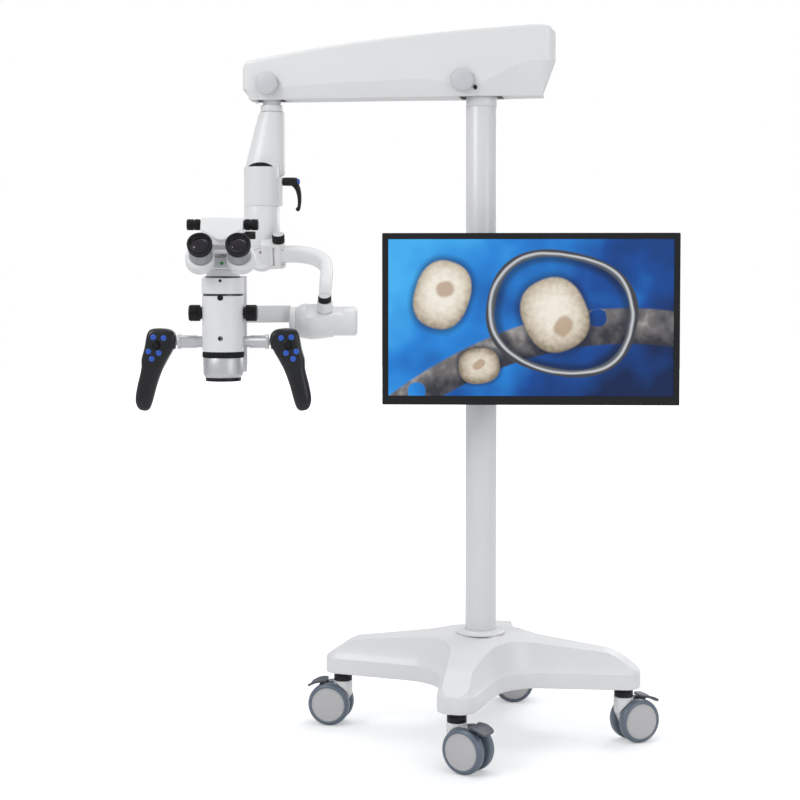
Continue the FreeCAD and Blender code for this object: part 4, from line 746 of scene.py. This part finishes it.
def make_cover():
    loop = cover_outline()
    count = len(loop)

    def inward(i, amount):
        along = (Vector(loop[(i + 1) % count]) - Vector(loop[i - 1])).normalized()
        return Vector(loop[i]) - Vector((along.y, -along.x)) * amount

    rows = [[] for k in range(13)]
    for i, (x, y) in enumerate(loop):
        crease = between(x, CREASE)
        top = between(x, COVER_TOP)
        foot = 8 + max(0, crease - 1425) * 0.40
        if x < LEFT_END + LEFT_ROUND:
            foot = 8 + 11 * min(1, (LEFT_END + LEFT_ROUND - x) / LEFT_ROUND)
        levels = [(foot + 1.6, COVER_FOOT), (foot, COVER_FOOT + 0.8),
                  (foot - 0.9, COVER_FOOT + 2.6), (0.45, crease - 1.2), (0, crease),
                  (0, crease + 2), (0, top - 9), (0.7, top - 5.4), (2.7, top - 2.4),
                  (5.6, top - 0.7), (9, top)]
        for row, (amount, z) in zip(rows, levels):
            p = inward(i, amount)
            row.append((p.x, p.y, z))
        spine = min(max(x, -480), 112)
        crown = between(spine, COVER_TOP) + 0.8
        middle = Vector((spine, 0)).lerp(inward(i, 9), 0.5)
        rows[11].append((middle.x, middle.y, top * 0.5 + crown * 0.5 + 0.4))
        rows[12].append((spine, 0.0, crown))
    points = [point for row in rows for point in row]
    faces = quads(len(rows), count)

    low = len(points)
    for (x, y), (_, y_foot, _) in zip(loop, rows[0]):
        edge = 37 if abs(x) < 60 else 22.5
        points.append((min(max(x, -510), 130), max(-edge, min(edge, y_foot)), COVER_FOOT))
    points += [(min(max(x, -510), 130), 0, COVER_FOOT) for x, y in loop]
    for i in range(count):
        n = (i + 1) % count
        faces.append([i, low + i, low + n, n])
        x0, x1 = sorted((loop[i][0], loop[n][0]))
        if not any(x0 >= a and x1 <= b for a, b in SLOTS):
            faces.append([low + i, low + count + i, low + count + n, low + n])
    item = Form().add(in_metres(points), faces).make(
        "beam_cover_shell", [shell_white], "beam", ("beam_cover",), "shell_white")
    bm = bmesh.new()
    bm.from_mesh(item.data)
    bmesh.ops.remove_doubles(bm, verts=bm.verts, dist=0.00005)
    bmesh.ops.recalc_face_normals(bm, faces=bm.faces)
    bm.to_mesh(item.data)
    bm.free()
    item.data.shade_smooth()
    item.data.set_sharp_from_angle(angle=radians(11))
    wall = item.modifiers.new("wall", "SOLIDIFY")
    wall.thickness = 0.0025
    wall.offset = -1
    # A short black pin stands for a small hole in the cover: its black is painted shade.
    hole = Form()
    hole.turned([(0, 0), (3.6, 0), (4.2, 0.5), (4.2, 8), (0, 8)],
                shift(-0.0093, -0.0513, 1.4195) @ spin(82, "X"), 24)
    hole.make("cover_hole_painted_shade", [black], "beam", (), "black_plastic")


make_cover()


# Beam knobs: low domed caps on a dark shadow ring

def make_beam_knobs():
    for name, x, y in (("rear", -0.036, -0.0566), ("front", FRONT_PIVOT_X, -0.04592)):
        knob = Form()
        seat = shift(x, y, 1.435) @ TO_VIEWER
        knob.turned([
            (0, 9), (9.3, 9), (9.3, 0), (21.5, 0, 1), (22.4, 0.5, 1), (22.4, 2.2, 1), (24, 2.6),
            (24, 10.2), (23.4, 11.6), (21.6, 12.7), (17, 13.8), (10, 14.7), (0, 15)], seat, 72)
        knob.make(f"beam_{name}_knob_cap", [knob_grey, black_soft], f"{name}_knob",
                  (f"beam_{name}_knob",), "knob_grey", sharp=40)


make_beam_knobs()


# Eyepieces: silver tube, ribbed ring, rubber cup and coated lens

def make_eyepieces():
    for side, name in SIDES:
        seat = EYES @ shift(side * 0.038, -0.0710, 1.05397) @ spin(EYE_LEAN, "X")
        seat = seat @ shift(0, 0, -0.0008)
        tube = Form()
        tube.turned([
            (0, 0), (24.3, 0), (24.3, 1.6), (23.8, 2.2), (22.6, 2.4), (22.3, 3.0), (22.3, 25.6),
            (21.7, 25.9), (21.7, 26.6), (22.4, 27.0), (22.4, 28.2, 1), (24.2, 28.8, 1, 0.9),
            (24.8, 29.6, 1, 0.9), (24.8, 34.0, 1, 0.9), (24.2, 34.8, 1), (24.9, 35.6, 1),
            (25.4, 36.6, 1), (25.4, 43.4, 1), (24.9, 45.2, 1), (23.4, 46.3, 1), (21.6, 46.2, 1),
            (20.0, 45.0, 1), (19.0, 42.6, 2), (17.2, 40.6, 2), (16.2, 40.0, 2), (15.6, 40.0, 3),
            (13.0, 40.9, 3), (10.0, 41.6, 3), (6.0, 42.2, 3), (3.0, 42.4, 3),
            (0, 42.5, 3)], seat, ribs=36)
        tube.make(f"eyepiece_{name}_tube", [tube_silver, black_soft, black, eye_glass],
                  f"eyepiece_{name}", (f"eyepiece_{name}",), "black_plastic")


make_eyepieces()


# Binocular tube: moulded housing, front cover, bar, side knob; dome with its mark on the neck

def rounded_bar(form, radius, low, high, matrix, soft):
    """Cylinder with rounded rims."""
    rim = [(radius - soft + soft * sin(a), soft * cos(a))
           for a in (k * pi / 10 for k in range(6))]
    profile = [(0, low, 0)] + [(r, low + soft - d, 0) for r, d in rim]
    profile += [(r, high - soft + d, 0) for r, d in rim[::-1]] + [(0, high, 0)]
    return form.turned(profile, matrix, 48)


def make_binocular():
    shell = Form()
    for side in (1, -1):
        seat = EYES @ shift(side * 0.0415, -0.0708, 1.0538) @ spin(EYE_LEAN, "X")
        rounded_bar(shell, 29.5, -31, 0, seat, 8)
    side_view = [(34, 1065), (34, 1108), (30, 1119), (20, 1128), (6, 1132), (-8, 1132),
                 (-16, 1128), (-34, 1108), (-42, 1088), (-44, 1076), (-20, 1064), (6, 1058)]
    across = EYES @ shift(-0.043, 0, 0) @ Matrix(((0, 0, 1, 0), (1, 0, 0, 0), (0, 1, 0, 0),
                                                   (0, 0, 0, 1)))
    shell.prism(side_view, 0, 86, across)
    low = [(36, 1036), (36, 1080), (-30, 1080), (-30, 1062), (-4, 1056), (10, 1036)]
    shell.prism(low, 8, 78, across)
    bridge = [(-13, -13), (13, -13), (13, 13), (-13, 13)]
    shell.prism(bridge, 0, 7, EYES @ shift(0, -0.046, 1.0580))
    skin = shell.make("binocular_shell", [cast_white], "binocular", ("binocular_housing",),
                      "casting_white")
    melted(skin, 0.0013, 5)

    plate = Form()
    slope = Matrix(((1, 0, 0, 0), (0, 0.583, -0.813, -0.0500), (0, 0.813, 0.583, 1.0860),
                    (0, 0, 0, 1)))
    half = [(43, 55.5), (43, 30), (40, 25.5), (12, 3.2), (8, 0.9), (4, -0.2)]
    corners = [(-x, v) for x, v in half] + [(0, -0.6)] + half[::-1]
    plate.prism(corners, -13, 0.4, EYES @ slope)
    plate.make("binocular_front_cover", [shell_white], "binocular", bevel=0.0022)
    knob = Form()
    knob.turned([
        (0, 0), (5.5, 0), (5.5, 4), (7.4, 4.6, 0, 0.5), (8.0, 5.6, 0, 0.5), (8.0, 23.8, 0, 0.5),
        (7.2, 25.4), (0, 25.8)],
        EYES @ shift(0.0425, -0.016, 1.0955) @ TO_X, ribs=20)
    knob.make("binocular_side_knob", [black], "binocular")

    neck = Form()
    neck.turned([
        (0, 1010.8), (35.6, 1010.8, 1), (35.9, 1013.0, 1), (34.9, 1013.6), (34.6, 1015.6),
        (31.6, 1026.6), (30.3, 1028.8), (28.0, 1029.4), (0, 1029.4)], SCOPE, 72)
    dome = [(25.5, 1029, 2)] + [(25.5 * cos(a), 1030 + 22 * sin(a), 2)
                                for a in (k * pi / 20 for k in range(11))]
    dome[-1] = (0, 1052, 2)
    neck.turned(dome, EYES @ shift(0, -0.008, 0), 56)
    neck.turned([(0, -37), (8, -37), (8, 37), (0, 37)], EYES @ shift(0, 0, 1.043) @ TO_X, 32)
    neck.turned([(3.6, -1, 3), (3.6, 0.4, 3), (2.9, 0.9, 3), (0, 1.1, 3)],
                EYES @ shift(0, -0.0318, 1.0384) @ spin(68, "X"), 28)
    neck.make("binocular_neck", [cast_white, black, knob_grey, green], "scope",
              ("binocular_base",), "casting_white")


make_binocular()


# Microscope body: barrel with groove, screws and notch, satin cell, dark lens ring

def make_scope_body():
    barrel = Form()
    barrel.turned([
        (0, 847.2, 2), (36, 847.2, 2), (36, 859.4), (41.9, 859.4), (42.6, 860.1), (42.6, 972.9),
        (42.0, 973.5, 1), (41.2, 973.8, 1), (41.0, 975.6, 1), (41.2, 977.4, 1), (42.4, 977.8),
        (43.4, 978.6), (43.4, 1009.0), (42.6, 1010.0, 2), (0, 1010.4, 2)], SCOPE, 96)
    # Black cups on the barrel's face; the small one at 1004.6 mm stands for a hole, and its
    # black is painted shade.
    for high, radius in ((970.2, 6.0), (1004.6, 3.0)):
        face = 0.0425 if high < 975 else 0.0433
        barrel.turned([
            (radius, -1.5, 2), (radius, 0.5, 2), (radius * 0.85, 1.4, 2),
            (radius * 0.5, 1.8, 2), (radius * 0.42, 0.6, 2), (0, 0.6, 2)],
            SCOPE @ shift(-0.001, -face, high / 1000) @ TO_VIEWER, 28)
    # Lowest: a dark metal rim round a hole whose black inside is painted shade.
    barrel.turned([
        (5.0, -1.5, 1), (5.0, 0.4, 1), (4.4, 0.5, 2), (3.6, -0.1, 2),
        (0, 0.3, 2)], SCOPE @ shift(-0.001, -0.0426, 0.8873) @ TO_VIEWER, 28)
    barrel.make("scope_barrel", [cast_white, dark_metal, black], "scope", ("scope_body",),
                "casting_white")
    cell = Form()
    cell.turned([
        (0, 819.5, 1), (28.1, 814.4, 1), (28.1, 805, 1), (30, 805, 1), (30.2, 799.4, 1),
        (31, 799, 1), (35.8, 799, 1), (36.5, 799.7, 1), (36.5, 806.6), (37.4, 807.4),
        (39.9, 811.2), (40.7, 813.2), (41, 815), (41, 846.2), (40.5, 847), (0, 847)], SCOPE, 96)
    cell.make("objective_cell_turned", [satin, black], "scope", ("objective_cell",),
              "satin_metal")


make_scope_body()


# Handles: lofted grips with a flat head, each section from its inner to its outer point

GRIP = ((114, 906.2, 144, 906.6, 9, 2.6), (106, 904, 151, 904.2, 13.5, 3.6),
        (99.5, 898.5, 156, 896, 16, 4.6), (96, 890, 158, 884, 17, 5),
        (96, 879, 160, 870, 17, 5), (100.5, 866, 163.5, 857, 17, 4.6),
        (110, 850, 168.5, 842.5, 17, 4), (119, 834, 167, 831.5, 16.6, 3.2),
        (128.5, 813, 170, 815, 16, 2.7), (137, 788, 175.5, 796, 15.6, 2.4),
        (142, 767, 180, 774, 15.6, 2.3), (147, 750, 181.8, 757.5, 15, 2.3),
        (151, 740.5, 178, 744.5, 12.4, 2.2), (157, 736.8, 172, 738.6, 7, 2.1))


def make_handle(side, name):
    steps = 48
    points = []
    for xi, zi, xo, zo, deep, power in GRIP:
        for k in range(steps):
            u, w = squared(2 * pi * k / steps * side, 2 / power)
            points.append((side * ((xi + xo) / 2 + u * (xo - xi) / 2), w * deep,
                           (zi + zo) / 2 + u * (zo - zi) / 2))
    rows = len(GRIP)
    faces = quads(rows, steps)
    for start, (x, z), turn in ((0, (129, 907.4), 1), ((rows - 1) * steps, (163.5, 737.2), -1)):
        mid = len(points)
        points.append((side * x, 0, z))
        for k in range(steps):
            pair = [start + k, start + (k + 1) % steps][::turn]
            faces.append([mid] + pair[::-1])
    grip = Form().add(in_metres(points), faces, 0, SCOPE)
    grip.turned([
        (13.6, 0), (15.4, 0), (15.8, 1), (15.8, 12), (14, 14),
        (0, 14)], SCOPE @ shift(side * 0.0985, 0, 0.8795) @ outward(side), 40)
    grip.make(f"handle_{name}_grip", [charcoal], f"handle_{name}", (f"handle_{name}",),
              "grip_charcoal", smooth=1)
    ring = Form()
    ring.turned([(9.6, -1), (9.6, 0.8), (8.6, 1.4), (7.4, 1.0), (0, 0.6)],
                SCOPE @ shift(side * 0.135, -0.0165, 0.873) @ TO_VIEWER, 36)
    ring.make(f"handle_{name}_stick_ring", [black], f"handle_{name}")


for side, name in SIDES:
    make_handle(side, name)


# Clamp lever: barrel, blue push button, curved arm with a ball end

def make_lever():
    seat = VIEW @ shift(-0.4387, SLEEVE_Y, 1.222)
    lever = Form()
    lever.turned([
        (0, 0.3), (8.6, 0.3), (9.5, 1.2), (9.5, 31.6), (8.6, 33), (6.6, 33.2)], seat @ TO_X, 40)
    lever.turned([
        (6.4, 32, 1), (6.4, 36.6, 1), (5.6, 38.4, 1), (3.0, 39.0, 1),
        (0, 39.1, 1)], seat @ TO_X, 32)
    line = [Vector((x, 0, z)) for x, z in ((21, 0), (28, -5), (33.5, -13), (36.6, -24),
                                           (38, -36), (38, -47), (36.9, -56), (35.4, -61))]
    across = Vector((0, 1, 0))
    steps = 24
    points = []
    for i, thick in enumerate((9.0, 8.0, 6.6, 5.4, 4.6, 4.0, 3.7, 3.6)):
        ahead = (line[min(i + 1, len(line) - 1)] - line[max(i - 1, 0)]).normalized()
        for k in range(steps):
            a = 2 * pi * k / steps
            points.append(line[i] + (ahead.cross(across) * cos(a)
                                     + across * sin(a) * 0.8) * thick)
    faces = quads(len(line), steps, True)
    faces.append(list(range(len(points) - steps, len(points))))
    lever.add(in_metres(points), faces, 0, seat)
    ball = [(max(5 * sin(k * pi / 12), 0), -5 * cos(k * pi / 12), 0)
            for k in range(13)]
    lever.turned(ball, seat @ shift(0.0342, 0, -0.0605), 28)
    lever.make("clamp_lever_turned", [black, blue], "clamp_lever", ("clamp_lever",),
               "black_plastic", smooth=1)


make_lever()


# Hanger: tapered neck, clamp sleeve with its ear, and a black strip of painted shadow above the
# sleeve

def bent(sections, sides):
    """Corners and faces of four-cornered sections that follow an arc about Z."""
    points = []
    for degrees, corners in sections:
        a = radians(degrees)
        points += [(r * cos(a), r * sin(a), z) for r, z in corners]
    faces = []
    for k in range(0, len(points) - 4, 4):
        for m in range(sides):
            n = (m + 1) % 4
            faces.append([k + m, k + 4 + m, k + 4 + n, k + n])
    return in_metres(points), faces


def make_hanger():
    pivot = SLEEVE.inverted() @ Vector((FRONT_PIVOT_X, 0, 0)) * 1000
    steps = 56
    points = []
    rows = ((1378.7, 1.0, 24.0, 23.0), (1377.6, 1.0, 26.8, 24.4), (1374.7, 1.0, 29.0, 25.4),
            (1362, 0.93, 30.8, 26.2), (1348, 0.85, 32.8, 27.0), (1320, 0.70, 36.2, 28.2),
            (1298, 0.58, 38.9, 29.0), (1275, 0.45, 41.8, 29.6), (1254, 0.34, 44.2, 30.0),
            (1241, 0.32, 44.0, 29.6), (1235, 0.32, 41.0, 28.0), (1232, 0.32, 30.0, 22.0))
    for height, share, half_x, half_y in rows:
        for k in range(steps):
            a = 2 * pi * k / steps
            points.append((pivot.x * share + half_x * cos(a),
                           pivot.y * share + half_y * sin(a), height))
    faces = quads(len(rows), steps, True)
    faces.append(list(range(steps)))
    form = Form().add(in_metres(points), faces, 0, SLEEVE)
    form.turned([
        (22, 1167), (38, 1167), (39, 1168), (39, 1253), (38, 1254), (22, 1254)], SLEEVE, 96)
    ear = [(30, -15), (42.4, -15), (44.4, -13.6), (45, -11), (45, 11), (44.4, 13.6),
           (42.4, 15), (30, 15)]
    form.prism(ear, 1169, 1231, SLEEVE)
    form.make("hanger_casting", [cast_white], "hanger_arm", ("hanger_arm",), "casting_white")

    # A thin black strip along the sleeve's top edge: painted shadow where the neck narrows
    # above the sleeve.
    count = 30
    sections = []
    for k in range(count + 1):
        rise = 8.5 * sin(pi * k / count) ** 0.8
        sections.append((-134 + 88 * k / count, ((39.1, 0), (39.1, rise), (33, rise), (33, 0))))
    rim = Form().add(*bent(sections, 3), 0, SLEEVE @ shift(0, 0, 1.2535))
    rim.make("hanger_painted_shadow_strip", [black_soft], "hanger_arm")


make_hanger()


# Knuckle: closed boss round the arm's hub, recessed disc on the side drum

def make_knuckle_detail():
    count = 36
    section = ((14.6, -29), (14.6, 29), (12.6, 29), (12.6, -29))
    verts, faces = bent([(70 + 220 * k / count, section) for k in range(count + 1)], 4)
    faces += [[0, 1, 2, 3], [4 * count + 3, 4 * count + 2, 4 * count + 1, 4 * count]]
    boss = Form().add(verts, faces, 0, LINK)
    boss.prism([(-37, -13.9), (-12.8, -13.9), (-12.8, 13.9), (-37, 13.9)], -29, 29, LINK)
    for high in (-13, 13):
        boss.turned([(2.6, -1, 1), (2.6, 0.4, 1), (1.6, 0.8, 1), (0, 0.8, 1)],
                    LINK @ shift(0.010, -0.0105, high / 1000) @ spin(22, "Z") @ TO_VIEWER, 20)
    boss.make("knuckle_boss", [cast_white, dark_metal], "knuckle", bevel=0.0008)

    back = VIEW.inverted()
    near = [back @ v.co for v in NODES["lower_knuckle"].data.vertices]
    face = min(v.y for v in near
               if abs(v.z - 1.051) < 0.022 and abs(v.x - SLEEVE_X) < 0.022)
    face_form = Form()
    seat = VIEW @ shift(SLEEVE_X, face, 1.051) @ TO_VIEWER
    face_form.turned([
        (27.4, -6), (27.4, 0.6), (26.6, 1.5), (25.0, 1.7), (24.2, 1.0, 1), (23.6, 0.9),
        (23.0, 1.5), (0, 1.7)], seat, 64)
    face_form.turned([(2.7, 0, 1), (2.7, 1.9, 1), (0, 1.9, 1)], seat @ shift(0, 0.0145, 0), 20)
    face_form.make("knuckle_drum_face", [cast_white, dark_metal], "knuckle")


make_knuckle_detail()


# Coupling arm: rounded bar swept round one wide bend, hub and end boss

def make_link_arm():
    bend, reach, run = 74, 108, 200
    stations = [(x, 0, 0.0, 0, 17) for x in (0, 12, reach - bend)]
    for k in range(1, 15):
        a = pi / 2 * k / 14
        stations.append((reach - bend + bend * sin(a), -bend + bend * cos(a), a, 0, 17))
    for y, mid, high in ((-100, 0, 17), (-135, 0, 17), (-158, -3, 16.4), (-176, -12, 13.4),
                         (-190, -17.4, 11.2), (-run, -18, 11)):
        stations.append((reach, y, pi / 2, mid, high))
    steps = 40
    points = []
    for x, y, a, mid, high in stations:
        out = Vector((sin(a), cos(a), 0))
        for k in range(steps):
            u, w = squared(2 * pi * k / steps, 0.42)
            points.append(Vector((x, y, mid + w * high)) + out * u * 13)
    faces = quads(len(stations), steps)
    faces.append(list(range(steps))[::-1])
    faces.append(list(range(len(points) - steps, len(points))))
    arm = Form().add(in_metres(points), faces, 0, LINK)
    arm.turned([(0, -22), (11.6, -22), (12, -21), (12, 21), (11.6, 22), (0, 22)], LINK, 48)
    arm.turned([
        (0, -29.2), (15.4, -29.2), (16, -28.4), (16, -8.2), (15.2, -7.4),
        (0, -7.4)], LINK @ shift(0.108, -0.200, 0), 48)
    arm.make("link_arm_swept", [cast_white], "link_arm", ("link_arm",), "casting_white")


make_link_arm()


# Yoke: rear plate no wider than the barrel shows, with softened edges

def make_yoke():
    back = SCOPE.inverted()
    source = NODES["yoke_arm"].data
    verts = []
    for v in source.vertices:
        at = back @ v.co
        if abs(abs(at.x) - 0.048) < 0.0004 and at.y > 0.02:
            at.x = copysign(0.0445, at.x)
        verts.append(SCOPE @ at)
    form = Form()
    form.verts = verts
    form.faces = [list(face.vertices) for face in source.polygons]
    form.paint = [0] * len(form.faces)
    item = form.make("yoke_arm_soft", [cast_white], "scope", ("yoke_arm",), "casting_white")
    weld(item)
    soften(item, 0.0028, 50, 3)


make_yoke()


# Brake pedals: arched paddle, lower across its middle, with raised ribs

def make_pedal(name, matrix):
    spine = ((12, 54), (18, 53.6), (24, 52.8), (30.7, 51.4), (38, 48.6), (44, 45.6), (50, 42))
    cols = 29
    verts, faces = [], []
    for layer, drop in ((0, 0), (1, 4.4)):
        for i, (x, z) in enumerate(spine):
            narrow = 1 - 0.10 * abs(i - 3) / 3 - (0.10 if i in (0, 6) else 0)
            for k in range(cols):
                t = 2 * k / (cols - 1) - 1
                ridge = 0.9 if layer == 0 and k % 4 in (1, 2) and 0 < i < 6 else 0
                verts.append(((x - drop * 0.3) / 1000, t * 25 * narrow / 1000,
                              (z - drop - 2.6 + 2.6 * t * t + ridge * 0.6 - 0.5) / 1000))
    rows = len(spine)
    lay = rows * cols
    for i in range(rows - 1):
        for k in range(cols - 1):
            a = i * cols + k
            faces.append([a, a + cols, a + cols + 1, a + 1])
            faces.append([lay + a, lay + a + 1, lay + a + cols + 1, lay + a + cols])
    ring = [k for k in range(cols)] + [i * cols + cols - 1 for i in range(1, rows)]
    ring += [(rows - 1) * cols + k for k in range(cols - 2, -1, -1)]
    ring += [i * cols for i in range(rows - 2, 0, -1)]
    for a, b in zip(ring, ring[1:] + ring[:1]):
        faces.append([a, b, b + lay, a + lay])
    axle = matrix @ shift(AXLE_TRAIL, 0, AXLE_HEIGHT)
    form = Form().add(verts, faces, 0, axle)
    form.prism([(10.5, 13), (13, 12), (19, 12), (21.5, 13), (27, 46), (17, 49.4)], -4, 4,
               axle @ TO_BACK @ Matrix.Diagonal((1, -1, 1, 1)))
    form.turned([(0, -9.2), (3, -9.2), (3, 9.2), (0, 9.2)],
                axle @ shift(0.016, 0, 0.018) @ TO_BACK, 20)
    form.make(f"castor_{name}_paddle", [slate], f"castor_{name}_brake",
              (f"castor_{name}_pedal",), "pedal_slate", bevel=0.0005)


for castor, matrix in CASTORS.items():
    make_pedal(castor, matrix)


# Camera, lights and surroundings

def aim(item, at, target):
    item.location = Vector(at)
    item.rotation_mode = "QUATERNION"
    item.rotation_quaternion = (Vector(target) - Vector(at)).to_track_quat("-Z", "Y")


def make_camera():
    data = bpy.data.cameras.new("camera")
    data.sensor_width = 36
    data.lens = 72
    data.shift_y = -0.0688
    data.clip_end = 60
    camera = new_object("camera", data)
    at = VIEW @ Vector((-0.179, -3.520, 1.016))
    ahead = VIEW @ Vector((0, cos(radians(2.5)), -sin(radians(2.5))))
    aim(camera, at, at + ahead)
    bpy.context.scene.camera = camera


def make_light(name, at, target, wide, watts):
    data = bpy.data.lights.new(name, "AREA")
    data.shape = "RECTANGLE"
    data.size, data.size_y = wide
    data.energy = watts
    aim(new_object(name, data), at, target)


def camera_ray(tree):
    return new_node(tree, "LightPath", {}).outputs["Is Camera Ray"]


def make_world():
    world = bpy.data.worlds.new("studio")
    bpy.context.scene.world = world
    world.use_nodes = True
    tree = world.node_tree
    tree.nodes.clear()
    soft = new_node(tree, "Background", {"Color": (0.93, 0.96, 1.0), "Strength": 0.64})
    seen = new_node(tree, "Background", {"Color": (1, 1, 1), "Strength": 1.0})
    mix = new_node(tree, "MixShader", {
        0: camera_ray(tree), 1: soft.outputs[0], 2: seen.outputs[0]})
    new_node(tree, "OutputWorld", {"Surface": mix.outputs[0]})


def make_floor():
    """Pale floor that takes the shadows and fades to white away from the stand."""
    material, tree, shader = new_material("floor_white")
    tree.nodes.clear()
    where = new_node(tree, "NewGeometry", {}).outputs["Position"]
    far = new_node(tree, "VectorMath", {0: where}, operation="LENGTH").outputs["Value"]
    fade = spread(tree, far, 0.30, 1.0, 0.75, 2.2)
    level = new_node(tree, "Math", {0: camera_ray(tree), 1: fade}, operation="MULTIPLY")
    glow = new_node(tree, "Emission", {"Color": (1, 1, 1), "Strength": level.outputs[0]})
    plain = new_node(tree, "BsdfDiffuse", {"Color": (0.80, 0.80, 0.80)})
    both = new_node(tree, "AddShader", {0: plain.outputs[0], 1: glow.outputs[0]})
    new_node(tree, "OutputMaterial", {"Surface": both.outputs[0]})
    mesh = bpy.data.meshes.new("floor")
    reach = 14
    mesh.from_pydata([(-reach, -reach, 0), (reach, -reach, 0), (reach, reach, 0),
                      (-reach, reach, 0)], [], [(0, 1, 2, 3)])
    mesh.materials.append(material)
    new_object("floor", mesh)


make_camera()
make_light("key", (-2.6, -2.6, 3.2), (-0.1, 0, 0.9), (1.8, 1.8), 50)
make_light("fill", (2.8, -2.4, 1.6), (0, 0, 0.8), (1.6, 2.2), 20)
make_light("top", (0.2, 0.6, 3.6), (0, 0, 0.6), (2.2, 2.2), 34)
make_light("rim", (1.2, 2.6, 2.0), (0, 0, 0.9), (1.4, 1.8), 20)
make_world()
make_floor()
bpy.context.scene.view_settings.view_transform = "Standard"
